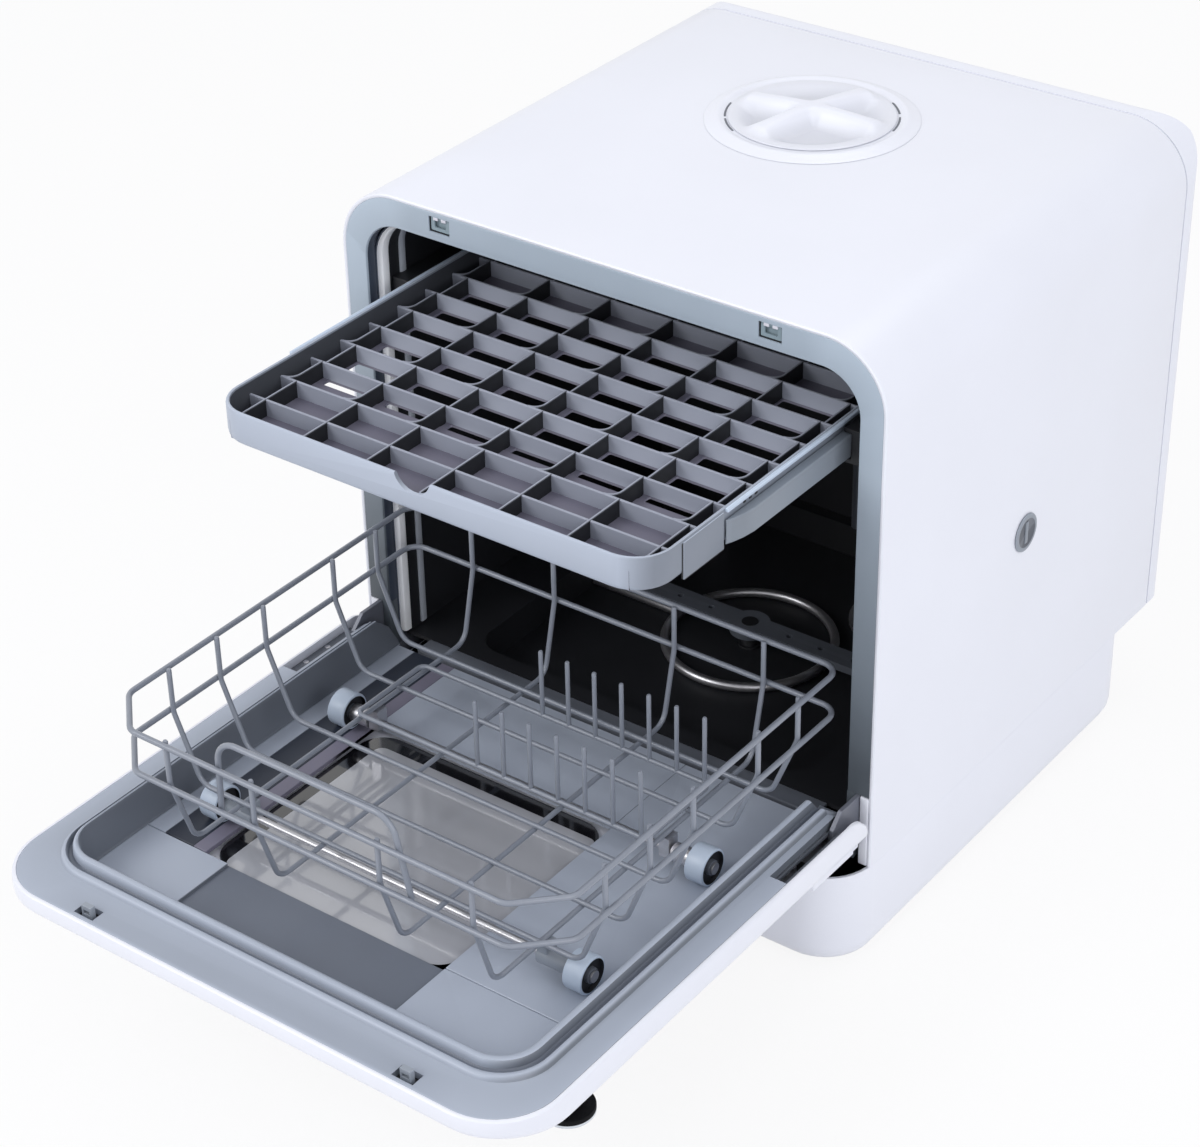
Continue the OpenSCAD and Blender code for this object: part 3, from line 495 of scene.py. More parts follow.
lamp("key", (-1.5, -2.2, 2.0), (0, 0, 0.2), 1.6, 33)
lamp("fill", (2.2, -1.0, 1.5), (0, 0, 0.25), 1.8, 21, (0.95, 0.96, 1.0))
lamp("top", (0.2, 0.9, 2.6), (0, 0.1, 0.3), 1.6, 8)
studio = bpy.data.worlds.new("studio")
studio.use_nodes = True
tree = studio.node_tree
soft = tree.nodes["Background"]
soft.inputs["Color"].default_value = (0.93, 0.94, 1.0, 1)
soft.inputs["Strength"].default_value = 0.71
bright = tree.nodes.new("ShaderNodeBackground")
bright.inputs["Color"].default_value = (1, 1, 1, 1)
tree.links.new(whiten(tree, soft.outputs[0], bright.outputs[0], 1.0),
               tree.nodes["World Output"].inputs["Surface"])
bpy.context.scene.world = studio
bpy.context.scene.view_settings.view_transform = "Standard"

FLOOR_HALF, FLOOR_CORNER = 6000, 900
m = Mesh("floor", FLOOR_PALE)
plan = round_rect(-FLOOR_HALF, -FLOOR_HALF, FLOOR_HALF, FLOOR_HALF, FLOOR_CORNER, 6)
m.loft([flat(plan, -0.4), flat(plan, -20)], cap0=True, cap1=True)
m.raw()

# ------------------------------------------------------------ cabinet skin
HW = 212.5              # half width of the cabinet and the door
BODY_H = 457
CORNER_R = 46
PLINTH_H = 76.3
CAP_X, CAP_Y = -8, 256      # middle of the filler cap
PLUG_Y, PLUG_Z = 184, 241   # middle of the plug in the right side

m = Mesh("outer_shell_skin", WHITE)
# round the wall from inside the front edge to the rear edge: inset and y
prof = [(3, 3), (3, 0.9), (2.8, 0.6), (2.2, 0.3), (1.2, 0.3), (0.3, 0.9), (0, 2.4), (0, 383), (0.3, 384.3),
        (1.2, 384.9), (2.4, 384.9), (3, 384)]
loops = [upright(arch(HW - i, PLINTH_H, BODY_H - i, CORNER_R - i, 20), y) for i, y in prof]
m.loft(loops, close=False, ring=True)
for side in (-1, 1):
    a, b = mirrored(side, 202.9, 209.4)
    m.box((a, 0.2, 76.4), (b, 12, 130.6), r=0.8)
cap_hole = Mesh("cutter").lathe((CAP_X, CAP_Y, 440), [(67, 0), (67, 30)])
plug_hole = Mesh("cutter").lathe((204, PLUG_Y, PLUG_Z), [(11, 0), (11, 14)], axis="x")
m.done("cabinet", "outer_shell", slot="white_plastic", cuts=[cap_hole, plug_hole])

PLINTH_Y0, PLINTH_Y1, PLINTH_R = -32, 365, 38
m = Mesh("plinth_skin", WHITE, DARK)
# up the inside, coloured dark as painted shade under the machine, over the rim and down the outside: inset
# and height
prof = ((9, 8), (3.1, 14), (3, 62), (3, 75.6), (0.6, 76.25), (0.15, 75.95), (0, 75.3), (0, 18), (0.8, 12.5),
        (3, 8.2), (7, 5.2), (12, 4))
loops = []
for i, z in prof:
    plan = round_rect(-HW + i, PLINTH_Y0 + i, HW - i, PLINTH_Y1 - i, PLINTH_R - i, 10)
    loops.append(flat(plan, z))
m.loft(loops, cap0=True, cap1=True, mis=[1] * 2 + [0] * 10)
m.done("cabinet", "base", slot="white_plastic")

# front bezel
OPEN_HW, OPEN_Z, OPEN_R = 192.5, 433.6, 28      # opening of the cabinet: half width, top, corner radius
m = Mesh("front_bezel", BEZEL, BEZEL_INSIDE)
# half width, top, corner radius and depth, from the outer edge round to the opening
prof = [(209.48, 453.98, 42.98, 9.5), (209.48, 453.98, 42.98, 0.8), (209.3, 453.8, 42.8, 0.62),
        (194.6, 435.7, 30, 0.6), (193.2, 434.3, 28.7, 1.0), (OPEN_HW, OPEN_Z, OPEN_R, 2.2),
        (OPEN_HW, OPEN_Z, OPEN_R, 9.5)]
loops = [upright(arch(w, 131.4, top, r, 14), y) for w, top, r, y in prof]
m.loft(loops, close=False, ring=True, mis=[0] * 5 + [1, 0])
LATCH_X = 128
LATCH_Z0, LATCH_Z1, LATCH_HW = 440, 451, 8.5    # latch slot: lower and upper edge, half width
cuts = []
for side in (-1, 1):
    x = side * LATCH_X
    cuts.append(cutter_box((x - LATCH_HW, -1, LATCH_Z0), (x + LATCH_HW, 9.3, LATCH_Z1)))
m.done("cabinet", "front_frame", slot="grey_plastic", cuts=cuts)

m = Mesh("front_lower_frame", BEZEL, MID_DARK)
for side in (-1, 1):
    a, b = mirrored(side, OPEN_HW, 199.1)
    m.box((a, 0.8, 78), (b, 9.8, 131.2), r=0.6)
    a, b = mirrored(side, 202.7, 200.9)
    m.box((a, 3.5, 78), (b, 9.8, 131.2), 1)
m.box((-OPEN_HW, 0.8, 77.3), (OPEN_HW, 9.8, 83), r=0.8)
m.box((-169, 0.8, 83), (169, 9.8, 98.2), 1, r=0.8)
m.box((-168.8, 0.8, 98.2), (168.8, 16, 100.9), 1, r=0.5)
m.done("cabinet")

# latch slots: pockets lined in dark as painted shade, with a grey catch plate that has a window and two tabs;
# a dark plate behind the window paints the shade of the hole
m = Mesh("latch_pockets", DARK, CATCH, WHITE_MATT)
for side in (-1, 1):
    x = side * LATCH_X
    for x0, x1, z0, z1 in ((-LATCH_HW, -7.9, LATCH_Z0, LATCH_Z1), (7.9, LATCH_HW, LATCH_Z0, LATCH_Z1),
                           (-7.9, 7.9, LATCH_Z0, LATCH_Z0 + 0.6), (-7.9, 7.9, LATCH_Z1 - 0.6, LATCH_Z1)):
        m.box((x + x0, 1.6, z0), (x + x1, 7, z1))
    outer = round_rect(x - 7.5, 441, x + 7.5, 450, 0.8, 3)
    window = round_rect(x - 4.7, 443.2, x + 4.7, 448.8, 0.8, 3)
    edges = ((outer, 3.2), (outer, 2), (window, 2), (window, 3.2))
    m.loft([upright(outline, y) for outline, y in edges], ring=True, mi=1)
    m.box((x - 7.5, 4.5, 441), (x + 7.5, 5.5, 450), 1)
    for dx in (-3.2, 3.2):
        m.box((x + dx - 1.9, 1.1, 448.4), (x + dx + 1.9, 2.1, 450.6), 2, r=0.3)
m.done("cabinet")
cad(STEEL, "latch_hook_l", "latch_hook_r", bevel=0.5)


def tub_arch(w, y):
    """tub-shaped arch; the mouth gains 2 mm in height for 4.5 mm in half width outside the tub"""
    top = 431.6 + (w - 188) * (1 if w < 188 else 2 / 4.5)
    return upright(arch(w, 103, top, OPEN_R + w - 188, 12), y)


# rings round the tub mouth
m = Mesh("tub_mouth_seal", SEAL_WHITE, BEZEL_INSIDE)
prof = ((194.2, 10.3), (192.6, 10.1), (192.5, 11.3), (189.2, 11.3), (188, 11.9), (187.5, 13.4), (187.3, 16),
        (187.4, 17.2), (187.7, 17.7), (187.8, 16.1), (194.2, 16.1))
m.loft([tub_arch(w, y) for w, y in prof], close=False, ring=True, mis=[1] * 2 + [0] * 9)
m.done("cabinet", "tub_seal", slot="grey_plastic")
m = Mesh("tub_mouth_bead", BEAD_GREY)
prof = ((187.8, 28), (186.9, 28.1), (186.4, 28.8), (186.2, 31), (186.4, 33.2), (186.9, 33.9), (187.8, 34))
m.loft([tub_arch(w, y) for w, y in prof], close=False, ring=True)
m.done("cabinet")
cad(DARK, "tub")

# filler ring and cap
CAP = (CAP_X, CAP_Y, BODY_H)
m = Mesh("filler_collar", WHITE)
prof = [(49.2, -21), (49.2, -3.2), (54.6, -3.2), (54.6, 1.6), (55.2, 2.1), (60, 2.2), (61.4, 2.4),
        (62.8, 3.3), (64.5, 3.7), (66.2, 3.4), (67.8, 2.5), (70, 1.7), (72.5, 0.9), (73.8, 0.35),
        (73.9, 0.25), (66.2, 0.25), (66.2, -10), (66.2, -11.8), (60, -12), (49.2, -21)]
m.lathe(CAP, prof, n=96)
m.done("cabinet", "filler_ring", slot="white_plastic")
MARK_R = 59.4
m = Mesh("filler_collar_marks", MID_DARK)
for a0, a1 in ((193, 215), (219, 239), (37, 55), (9, 31)):
    turn = [radians(a0 + (a1 - a0) * k / 8) for k in range(9)]
    m.tube([(CAP_X + MARK_R * cos(a), CAP_Y + MARK_R * sin(a), BODY_H + 1.7) for a in turn], 0.95, 8)
m.done("cabinet")


def smooth_step(t):
    """0 to 1 with soft ends as t goes from 0 to 1"""
    t = min(1, max(0, t))
    return t * t * (3 - 2 * t)


DISH_Z, DISH_DEPTH, DISH_R, DISH_SLOPE = -1.2, 4.9, 38, 15      # sunk floor and its rise to the edge
RIDGE_TURNS = (4, 74)                                           # degrees
RIDGE_R, RIDGE_END_R, RIDGE_END = 54, 47, 9
RIDGE_HALF, RIDGE_FLARE, RIDGE_FLAT = 13, 4, 0.15
CREST_Z, CREST_DROP = 11.25, 3.65


def cap_height(r, a):
    """height of the twist cap at radius r and angle a: two broad crossed ridges, four soft pockets"""
    z = DISH_Z + DISH_DEPTH * smooth_step((r - DISH_R) / DISH_SLOPE)
    for turn in RIDGE_TURNS:
        off = abs(r * sin(a - radians(turn)))
        half = RIDGE_HALF + RIDGE_FLARE * (r / RIDGE_R) ** 2
        crest = CREST_Z - CREST_DROP * (r / RIDGE_R) ** 2
        flank = 1 - smooth_step((off / half - RIDGE_FLAT) / (1 - RIDGE_FLAT))
        rise = flank * (1 - smooth_step((r - RIDGE_END_R) / RIDGE_END))
        z = max(z, z + (crest - z) * rise)
    return z


m = Mesh("filler_cap_twist", CAP_WHITE)
CAP_SIDES, CAP_TOP_R, CAP_STEP, CAP_RINGS = 144, 56, 1.2, 47
turns = [2 * pi * k / CAP_SIDES for k in range(CAP_SIDES)]
loops = []
for r, z in ((48.5, -10.6), (48.5, -2.6), (53.9, -2.6), (53.95, 2.35), (57.4, 2.4), (57.9, 2.7), (57.7, 3.2),
             (56.9, 3.6)):
    loops.append([(CAP_X + r * cos(a), CAP_Y + r * sin(a), BODY_H + z) for a in turns])
for k in range(CAP_RINGS):
    r = CAP_TOP_R - CAP_STEP * k
    loops.append([(CAP_X + r * cos(a), CAP_Y + r * sin(a), BODY_H + cap_height(r, a)) for a in turns])
m.loft(loops, cap0=True, cap1=True)
m.done("cap", "filler_cap", slot="white_plastic", smooth=50)

# side plug
m = Mesh("side_plug_button", MID_DARK, MID_GREY)
prof = [(10.7, -4), (10.7, 0.1), (13.6, 0.1), (13.9, 0.6), (13.6, 1.3), (12.6, 1.7), (10.6, 1.7), (9.6, 1.1),
        (0.005, 0.9)]
m.lathe((HW, PLUG_Y, PLUG_Z), prof, axis="x", mis=[0, 0, 0, 1, 1, 1, 0, 0, 0])
m.box((HW + 0.8, PLUG_Y - 1.8, PLUG_Z - 8.2), (HW + 1.55, PLUG_Y + 1.8, PLUG_Z + 8.2), 1, r=0.5)
m.done("cabinet", "side_plug", slot="mid_plastic")

cad(WHITE, "back_panel")
cad(RUBBER, "foot_fl", "foot_fr", "foot_rl", "foot_rr", bevel=0.8)
cad(MID_DARK, "riser_pipe", "spray_lower", "spray_upper", bevel=0.8)
cad(MID_DARK, "drain_spigot", bevel=0.4)
cad(WHITE_MATT, "inlet_valve", "float", bevel=0.5)
cad(DARK, "sump", "wash_pump", "power_inlet", "fan_rotor", bevel=0.5)
cad(STEEL, "heater", "filter", "front_axle", "rear_axle", bevel=0.3)
cad(TANK, "water_tank", bevel=1.0)
cad(GREEN, "control_board")
cad(PLATE, "hinge_arm_l", "hinge_arm_r", bevel=0.4)
cad(STEEL, "hinge_pin_l", "hinge_pin_r", bevel=0.4)
cad(DARK, "tray_guide_l", "tray_guide_r", bevel=0.6)

# ------------------------------------------------------------ door
DOOR_L, HINGE_Y, HINGE_Z = 378, -23.25, 102.25
END_R = 22.2            # of the rounded rear end
WIN = (-104.5, -260, 60.5, -88)     # window: left, near, right and far edge
KNOB_X, KNOB_Y = 185, -291


def end_y(z):
    """rear of the door at height z, a curve about the hinge line"""
    return HINGE_Y + sqrt(max(END_R ** 2 - (z - HINGE_Z) ** 2, 0))


def door_loop(i, z, near, wall):
    """door outline at height z, drawn in by i at the sides, near at the near end and wall at the rear"""
    radius = max(CORNER_R - i, 1)
    rear = end_y(z) - wall
    if z < 106:
        rear = min(rear, -2 - wall - (106 - z) * 12 / 14.5)
    plan = round_rect(-HW + i, -DOOR_L + near, HW - i, rear, [radius, radius, 3, 3], 12)
    return flat(plan, z)


m = Mesh("door_skin", WHITE)
outside = ((60, 91.5, 70), (20, 91.5, 32), (16.6, 91.55, 28.6), (14.9, 91.9, 27), (13.4, 92.8, 25.4),
           (2, 104.1, 10.6), (0.7, 105.5, 8.6), (0.1, 107.2, 6.3), (0, 109.5, 3.4), (0, 111, 1.5),
           (0, 112.6, 0.4), (0, 114.5, 0), (0, 121.4, 0), (0.4, 123.2, 0.4), (1.2, 124, 1.2),
           (2.2, 124.25, 2.2))
inside = ((2.9, 124.2, 2.9), (2.98, 123.9, 2.98), (3, 120.9, 3), (3, 112, 5), (14, 98, 20), (22, 94.4, 31),
          (60, 94.2, 70))
loops = [door_loop(i, z, near, 0) for i, z, near in outside]
loops += [door_loop(i, z, near, 3) for i, z, near in inside]
m.loft(loops, cap0=True, cap1=True)
# cutters: the window, the knob and the two keys, the channels of the hinge arms
edge = round_rect(WIN[0] + 4, WIN[1] + 4, WIN[2] - 4, WIN[3] - 4, 12, 6)
cuts = [Mesh("cutter").loft([flat(edge, 85), flat(edge, 97)], cap0=True, cap1=True)]
for y, r in ((KNOB_Y, 3.4), (-232, 5.3), (-202, 5.3)):
    cuts.append(Mesh("cutter").lathe((KNOB_X, y, 85), [(r, 0), (r, 14)], n=32))
for side in (-1, 1):
    a, b = mirrored(side, 192.3, 205.7)
    cuts.append(cutter_box((a, -57.3, 85), (b, 5, 112)))
# the basket rolls in and out over the open rear end
cuts.append(cutter_box((-209.4, -40, 98.4), (209.4, 6, 130)))
m.done("door", "door_shell", slot="white_plastic", cuts=cuts)

# channels in the rear of the door that the hinge arms run in: floor, outer wall, its dark lining, near wall;
# the lining and the near wall are dark as painted shade in the channel
m = Mesh("door_hinge_boss", WHITE, DARK)
for side in (-1, 1):
    for x0, x1, y0, y1, z0, z1, mi in ((192.5, 205.5, -57.25, -10, 91.5, 93.7, 0),
                                       (203.6, 205.5, -57.25, -4.2, 93.7, 109.5, 0),
                                       (203.4, 203.6, -55.1, -4.2, 93.7, 109.5, 1),
                                       (192.5, 203.5, -57.25, -55.1, 93.7, 109.5, 1)):
        a, b = mirrored(side, x0, x1)
        m.box((a, y0, z0), (b, y1, z1), mi)
m.done("door")


def left(w):
    """half width on the left for a half width w on the right: there the ridges are drawn together"""
    return w if w >= 194 else 184 + (w - 171) * 0.39


def u_path(w, y0, r, z, y1, n=12):
    """open path round the panel: rear left, near corners, rear right"""
    a, b = -left(w), w
    out = [(a, y1, z), (a, (y1 + y0) / 2, z)]
    for cx, start in ((a + r, 180), (b - r, 270)):
        for k in range(n + 1):
            t = radians(start + 90 * k / n)
            out.append((cx + r * cos(t), y0 + r + r * sin(t), z))
    return out + [(b, (y1 + y0) / 2, z), (b, y1, z)]


RIM_Z = 124.3       # flat rim of the liner, in line with the edge of the door skin
m = Mesh("door_inner_panel", LINER, CHANNEL, MID_DARK)
# half width, near end, corner radius and height, from the outer edge inwards
seq = [(209, -374.6, 42.5, 118), (209.42, -374.9, 42.9, 123.8), (209.2, -374.7, 42.7, 124.1),
       (208.4, -374, 42, 124.25), (196, -352, 39, RIM_Z)]
# a low ridge, the groove, a high ridge, then the wall down to the recess: half width and height
crest = ((192.5, 125.4), (192, 126.3), (191.4, 127.5), (190.4, 128.2), (189.1, 128.4), (187.8, 128.2),
         (186.9, 127.4), (186.3, 125), (185.2, 123.9), (182.6, 123.9), (181.7, 124.8), (181.2, 128.6),
         (180.4, 130), (178.5, 130.5), (176.6, 130.1), (175.6, 129.3), (175, 127.8), (171.8, 103.5),
         (171.2, 101.8), (169.5, 101), (168, 101))
seq += [(w, -156 - w, 36 - (192 - w) * 0.667, z) for w, z in crest]
under = ((168, -324, 20, 98.4), (174, -330, 24, 98.4), (178, -334, 26, 118), (204, -369, 38, 118))
loops = []
for w, y0, r, z in seq:
    rear = -22 if z > 124.25 else -1.5
    loops.append(u_path(w, y0, r, z, min(end_y(min(z, RIM_Z)), rear)))
for w, y0, r, z in under:
    loops.append(u_path(w, y0, r, z, min(end_y(z), -1.5) - 0.5))
# the groove takes the darker liner colour: painted shade in the crease
groove = [1 if 182 < w < 186.5 else 0 for w, y0, r, z in seq[:-1]]
cuts = []
for side in (-1, 1):
    a, b = mirrored(side, 196.8, 209.6)
    cuts.append(cutter_box((a, -95, 100), (b, 5, 140)))
    cuts.append(cutter_box((side * LATCH_X - 8, -372, 110), (side * LATCH_X + 8, -362, 140)))
m.loft(loops, close=False, ring=True, mis=groove + [2] * 5)
m.done("door", "door_liner", slot="grey_plastic", cuts=cuts)

# strike pockets and the plates beside the hinge arms
m = Mesh("door_fittings", DARK, LINER, MID_DARK, STEEL)
for side in (-1, 1):
    x = side * LATCH_X
    m.box((x - 8.6, -372.6, 117.6), (x + 8.6, -361.4, 119.4))
    foot, wedge_top = 119.4, 123.6
    slope = [[(x - 7.9, -371.9, foot), (x - 7.9, -371.9, wedge_top)],
             [(x + 7.9, -371.9, foot), (x + 7.9, -371.9, wedge_top)],
             [(x + 7.9, -369.6, foot)] * 2, [(x - 7.9, -369.6, foot)] * 2]
    m.loft(slope, ring=True, close=False, mi=1)
    for x0, x1 in ((203.5, 209.2), (197, 198.5)):
        a, b = mirrored(side, x0, x1)
        m.box((a, -94.8, 115.6), (b, -24, 117.6), 2)
    screw_head = [(0.005, 0), (2.1, 0), (2, 0.2), (1.2, 0.4), (0.005, 0.2)]
    for y in (-52, -75):
        m.lathe((side * 206.3, y, 117.6), screw_head, n=16, mi=3)
m.done("door")

# recess floor: level blocks, a lower channel at the near end, strips beside the window; the dark strip is
# painted shadow of a lower floor
m = Mesh("door_recess_floor", LINER, CHANNEL, STRIP_SHADOW, STRIP_GREY)
CH_L, CH_R, STEP_Y, FLOOR_Z = -112, 68, -260, 101       # sides and far end of the lower channel, floor level
FLOOR_L, FLOOR_R, NEAR_Y, REAR_Y = -183.5, 169.8, -326, -3
SEAM = 0.4              # half width of the line between the near and the far blocks


def block(x0, y0, x1, y1, corner, z, mi, bottom=98.0):
    """level plate of the recess floor with a fine chamfer round its top"""
    plan = round_rect(x0, y0, x1, y1, corner, 6)
    top = round_rect(x0 + 0.3, y0 + 0.3, x1 - 0.3, y1 - 0.3, corner, 6)
    m.loft([flat(plan, bottom), flat(plan, z - 0.3), flat(top, z)], cap0=True, cap1=True, mi=mi)


block(FLOOR_L, NEAR_Y, CH_L, STEP_Y - SEAM, [20, 0.5, 0.5, 0.5], FLOOR_Z, 0)
block(CH_R, NEAR_Y, FLOOR_R, STEP_Y - SEAM, [0.5, 20, 0.5, 0.5], FLOOR_Z, 0)
block(CH_R, STEP_Y + SEAM, FLOOR_R, REAR_Y, 0.5, FLOOR_Z, 0)
block(CH_L - 1, NEAR_Y, CH_R + 1, STEP_Y, 0.5, 98.7, 1, bottom=96.4)
for x0, x1, mi in ((FLOOR_L, -168, 0), (-168, -143, 2), (-143, -132, 3)):
    block(x0, STEP_Y + SEAM, x1, REAR_Y, 0.5, FLOOR_Z, mi)
block(-132, -87, CH_R, REAR_Y, 0.5, FLOOR_Z, 0)
m.done("door")

m = Mesh("door_window", PANE, PANE_BORDER)


def pane(i, z):
    """outline of the window pane at height z, drawn in by i at the left and the far edge"""
    plan = round_rect(-131.8 + i, -259.7 + i * 0.05, 67.6 - i * 0.05, -87.2 - i, max(20 - i, 3), 8)
    return flat(plan, z)


PANE_Z0, PANE_Z1, BORDER = 94.2, 96.6, 13
prof = ((BORDER, PANE_Z1), (0.5, PANE_Z1), (0, PANE_Z1 - 0.4),
        (0, PANE_Z0 + 0.5), (0.5, PANE_Z0), (BORDER, PANE_Z0))
m.loft([pane(i, z) for i, z in prof], mi=1)
m.loft([pane(BORDER, PANE_Z1)], cap1=True)
m.loft([pane(BORDER, PANE_Z0)], cap0=True)
m.done("door", "door_glass", slot="window_glass")
cad(MID_GREY, "door_strike_l", "door_strike_r", bevel=0.4)
cad(BLACK, "control_panel", bevel=0.3)
cad(STEEL, "button_power", "button_start", bevel=0.4)
m = Mesh("programme_knob", KNOB, WHITE_MATT, TANK)
prof = [(0.005, 0), (14.5, 0), (16.4, 0.5), (17, 1.4), (17, 3.0), (17, 5.2), (16.6, 6.1), (15.6, 6.5),
        (9, 6.5), (9, 21), (3, 21), (3, 34), (0.005, 34)]
m.lathe((KNOB_X, KNOB_Y, 70), prof, mis=[1, 1, 2, 2] + [0] * 8, n=72)
m.done("knob", "control_knob", slot="black_gloss")

# ------------------------------------------------------------ tray
TRAY_Y0, TRAY_Y1, TRAY_HW, TRAY_R, TRAY_Z = -182, 118, 167.5, 26, 365
CELL_W, CELL_D, COLS, ROWS = 50.67, 29, 7, 9
RIB_X = [-152 + CELL_W * i for i in range(COLS)]
RIB_Y = [-147 + CELL_D * j for j in range(ROWS)]


def tray_loop(i, dz):
    """outline of the tray drawn in by i, dz above its underside"""
    plan = round_rect(-TRAY_HW + i, TRAY_Y0 + i, TRAY_HW - i, TRAY_Y1 - i, max(TRAY_R - i, 2), 8)
    return flat(plan, TRAY_Z + dz)


m = Mesh("tray_body", TRAY_GREY, TRAY_INSIDE_SHADED)
prof = ((4, 0), (1.2, 0.4), (0.3, 1.6), (0, 3.5), (0, 21.6), (0.4, 22.6), (1.2, 23), (2.2, 22.6), (2.6, 21.6),
        (3, 4), (4, 2.2), (6, 1.6))
# the inner loops take the darker copy: painted shade inside the tray
m.loft([tray_loop(i, dz) for i, dz in prof], ring=True, mis=[0] * 8 + [1] * 4)
notch = Mesh("cutter").lathe((-4, TRAY_Y0 - 4, 391.5), [(14.2, 0), (14.2, 8)], axis="y", n=48)
m.done("tray_body", "tray", slot="tray_plastic", cuts=[notch])


def ribbon(mesh, path, z0, z1, half=0.95, chamfer=0.4):
    """upright wall that follows a plan path"""
    points = [Vector((x, y, 0)) for x, y in path]
    section = ((half, z0), (half, z1 - chamfer), (half - chamfer, z1),
               (chamfer - half, z1), (-half, z1 - chamfer), (-half, z0))
    loops = []
    for k, p in enumerate(points):
        along = (points[min(k + 1, len(points) - 1)] - points[max(k - 1, 0)]).normalized()
        across = Vector((along.y, -along.x, 0))
        loops.append([(p.x + across.x * q, p.y + across.y * q, z) for q, z in section])
    mesh.loft(loops, cap0=True, cap1=True)


m = Mesh("tray_grid", RIB_GREY, TRAY_FLOOR)
RIB_FOOT, RIB_TOP = TRAY_Z + 0.8, TRAY_Z + 13.6
FLOOR_BOTTOM, FLOOR_TOP = TRAY_Z + 0.5, TRAY_Z + 2.2
SHIFT, BEND = -3.5, 8       # every other row of short ribs is shifted and starts with a bend of this radius
for y in RIB_Y:
    ribbon(m, [(-TRAY_HW + 2.6, y), (TRAY_HW - 2.6, y)], RIB_FOOT, RIB_TOP)
for j in range(ROWS + 1):
    y0 = RIB_Y[j - 1] if j else TRAY_Y0 + 2.6
    y1 = RIB_Y[j] if j < ROWS else TRAY_Y1 - 2.6
    for x in RIB_X:
        if j % 2 or j == 0:
            path = [(x, y0), (x, y1)]
        else:
            turn = [radians(15 * k) for k in range(7)]
            path = [(x + SHIFT - BEND + BEND * sin(a), y0 + BEND - BEND * cos(a)) for a in turn]
            path.append((x + SHIFT, y1))
        ribbon(m, path, RIB_FOOT, RIB_TOP + 0.3)
# floor: closed in the two near rows and the last two, a window in each other cell
xs = [-TRAY_HW + 3] + RIB_X + [TRAY_HW - 3]
for j in range(ROWS + 1):
    y0 = RIB_Y[j - 1] if j else TRAY_Y0 + 3
    y1 = RIB_Y[j] if j < ROWS else TRAY_Y1 - 3
    if j < 2 or j > 7:
        near, far = (23 if j == 0 else 0.1), (23 if j == ROWS else 0.1)
        plan = round_rect(xs[0], y0, xs[-1], y1, [near, near, far, far], 8)
        m.loft([flat(plan, FLOOR_BOTTOM), flat(plan, FLOOR_TOP)], cap0=True, cap1=True, mi=1)
        continue
    for x0, x1 in zip(xs, xs[1:]):
        if x1 - x0 < 20:
            m.box((x0, y0, FLOOR_BOTTOM), (x1, y1, FLOOR_TOP), 1)
            continue
        near = y0 + (21 if j == 2 else 1.6)
        outer = round_rect(x0, y0, x1, y1, 0.1, 4)
        hole = round_rect(x0 + 2, near, x1 - 2, y1 - 1.1, 1.5, 4)
        edges = ((outer, FLOOR_TOP), (hole, FLOOR_TOP), (hole, FLOOR_BOTTOM), (outer, FLOOR_BOTTOM))
        m.loft([flat(outline, z) for outline, z in edges], ring=True, mi=1)
m.done("tray_body")

# sides of the tray: ledges and runners, and on the right a skirt with a seam and clip marks
m = Mesh("tray_side_fittings", RAIL_GREY, TRAY_GREY, DARK, RUNNER)
for side in (-1, 1):
    a, b = mirrored(side, TRAY_HW - 0.3, TRAY_HW + 4.4)
    m.box((a, -31, 370.8), (b, 86, 374.2), 3, r=0.4)
    a, b = mirrored(side, TRAY_HW - 0.3, TRAY_HW + 2.2)
    m.box((a, -104, 385.4), (b, 86, 388), r=0.7)
m.box((TRAY_HW - 0.3, -146.6, 361.4), (TRAY_HW + 0.9, -106, 386.4), 1, r=0.5)
m.box((TRAY_HW - 0.3, -147.7, 362.2), (TRAY_HW + 0.3, -146.7, 386), 2)
m.box((TRAY_HW - 0.2, -146.2, 361.1), (TRAY_HW + 0.8, -106.4, 362.0), 2)
for y in (-84, -78, -72):
    m.box((TRAY_HW - 0.3, y - 1.2, 382.2), (TRAY_HW + 0.35, y + 1.2, 384.4), 2)
m.done("tray_body")

# channels of the runners, their near ends drawn in to the tray
RAIL_Y0, RAIL_Y1 = -105, 90
for n, side in (("l", -1), ("r", 1)):
    m = Mesh("tray_runner_" + n, RUNNER)
    loops = []
    for y, x in ((RAIL_Y0, 169.2), (RAIL_Y0 + 4, 171), (RAIL_Y0 + 12, 173.4), (RAIL_Y0 + 22, 174.8),
                 (RAIL_Y1, 174.8)):
        web = min(x - 0.4, 172.2)
        section = [(168.5, 364.3), (x - 0.6, 364.3), (x, 365), (x, 380), (x - 0.6, 380.7), (168.5, 380.7),
                   (168.5, 375.2), (web, 375.2), (web, 369.8), (168.5, 369.8)]
        loops.append([(side * x, y, z) for x, z in section])
    m.loft(loops, cap0=True, cap1=True)
    m.done("tray_rails", "tray_rail_" + n, slot="mid_plastic")

# ------------------------------------------------------------ basket
RACK_HW, RACK_Y0, RACK_Y1 = 177, -297, 13           # basket: half width, near and far end
TOP_Z, BEND_Z, BOTTOM_Z = 213, 181, 128             # upper ring, lower ring, floor wires
CORNER = 29
INSET = 3.4                                         # the cross wires run inside the rings
RING_WIRE, CROSS_WIRE, TINE_WIRE = 2.0, 1.8, 1.6    # wire radii
WIRE_BENDS = [0, 14, 12, 12, 14, 0]


def cradle(low, high, foot0, foot1, bottom):
    """side view of a cross wire: down at low, along the floor from foot0 to foot1, up again at high"""
    return [(low + INSET, TOP_Z + 0.5), (low + INSET, BEND_Z), (foot0, bottom), (foot1, bottom),
            (high - INSET, BEND_Z), (high - INSET, TOP_Z + 0.5)]


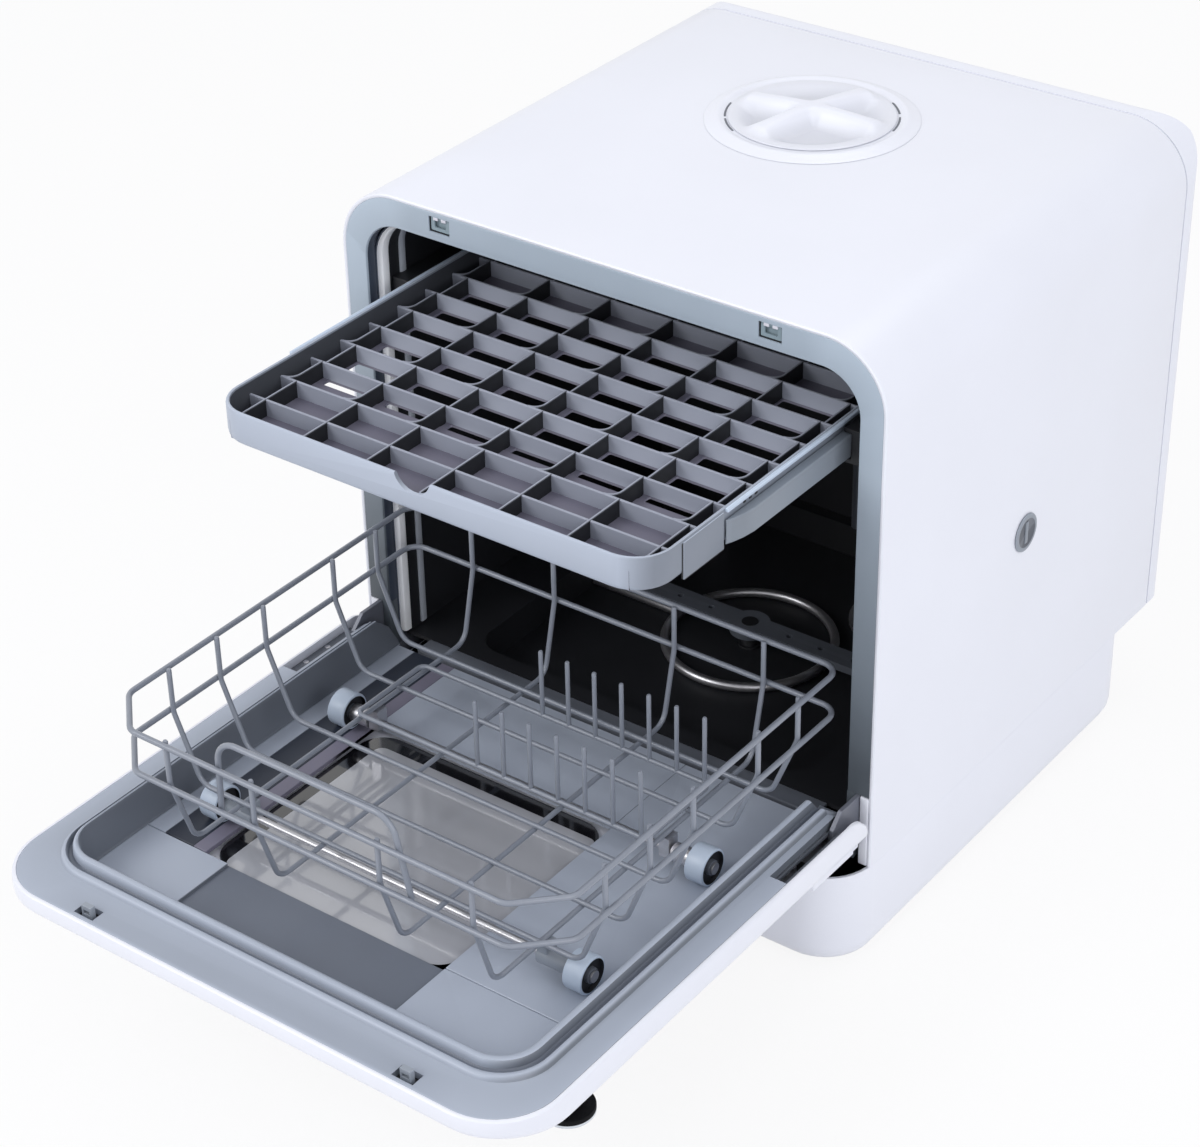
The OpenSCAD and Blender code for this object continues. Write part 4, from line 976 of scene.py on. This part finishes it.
m = Mesh("basket_wires", WIRE)
for z in (TOP_Z, BEND_Z):
    pts = [(-RACK_HW, RACK_Y1, z), (-RACK_HW, RACK_Y0 + CORNER, z), (-RACK_HW + CORNER, RACK_Y0, z),
           (RACK_HW - CORNER, RACK_Y0, z), (RACK_HW, RACK_Y0 + CORNER, z), (RACK_HW, RACK_Y1, z)]
    m.tube(fillet(pts, 12, 6, closed=True), RING_WIRE, 12, closed=True)
for x in (-121, -50, 50, 121):
    pts = [(x, y, z) for y, z in cradle(RACK_Y0, RACK_Y1, RACK_Y0 + 20, RACK_Y1 - 16, BOTTOM_Z)]
    m.tube(fillet(pts, WIRE_BENDS, 6), CROSS_WIRE, 10)
for y in (-235, -190, -145, -75, -30):
    pts = upright(cradle(-RACK_HW, RACK_HW, -RACK_HW + 23, RACK_HW - 23, BOTTOM_Z + 3), y)
    m.tube(fillet(pts, WIRE_BENDS, 6), CROSS_WIRE, 10)
m.done("rack", "basket", slot="coated_wire", smooth=60)

m = Mesh("basket_handle_wire", WIRE)
HANDLE_Y, HANDLE_Z = RACK_Y0 + 3.9, TOP_Z + 21
pts = upright([(-78, BEND_Z - 1), (-76, HANDLE_Z), (62, HANDLE_Z), (74, BEND_Z - 1)], HANDLE_Y)
m.tube(fillet(pts, [0, 16, 16, 0], 8), RING_WIRE, 12)
m.done("rack", "basket_handle", slot="coated_wire", smooth=60)

m = Mesh("plate_tine_wires", WIRE)
TINE_ROWS = (-120, -50)
TINE_X0, TINE_PITCH, TINES = -16, 22, 7
TINE_Z0, TINE_Z1 = 134.9, 186
NEAR_ROW, FAR_ROW = TINE_ROWS
pts = flat([(-120, NEAR_ROW), (120, NEAR_ROW), (120, FAR_ROW), (-120, FAR_ROW)], TINE_Z0)
m.tube(fillet(pts, 6, 5, closed=True), CROSS_WIRE, 10, closed=True)
for y in TINE_ROWS:
    for i in range(TINES):
        x = TINE_X0 + i * TINE_PITCH
        m.tube([(x, y, TINE_Z0), (x, y, 160), (x, y, TINE_Z1)], TINE_WIRE, 8)
m.done("rack", "plate_tines", slot="coated_wire", smooth=60)

cad(MID_GREY, "hanger_l", "hanger_r", bevel=0.6)
WHEEL_X, WHEEL_Z = 149, 114.3
TREAD = [(2.56, -7), (5.2, -7), (5.4, -4.4), (10.9, -4.4), (11.4, -7), (12.3, -7), (12.8, -6.6),
         (13, -5.8), (13, 5.8), (12.8, 6.6), (12.3, 7), (11.4, 7), (10.9, 4.4), (5.4, 4.4), (5.2, 7),
         (2.56, 7), (2.56, -7)]
TREAD_MATS = [2] * 2 + [1] * 2 + [0] * 7 + [1] * 2 + [2] * 3      # bore and hub, web, tyre
for n, side, y in (("fl", -1, -226), ("fr", 1, -226), ("rl", -1, -98), ("rr", 1, -98)):
    m = Mesh("roller_" + n, RAIL_GREY, DARK, MID_DARK)
    m.lathe((side * WHEEL_X, y, WHEEL_Z), TREAD, axis="x", n=48, mis=TREAD_MATS)
    m.done("roller_" + n, "wheel_" + n, slot="mid_plastic")
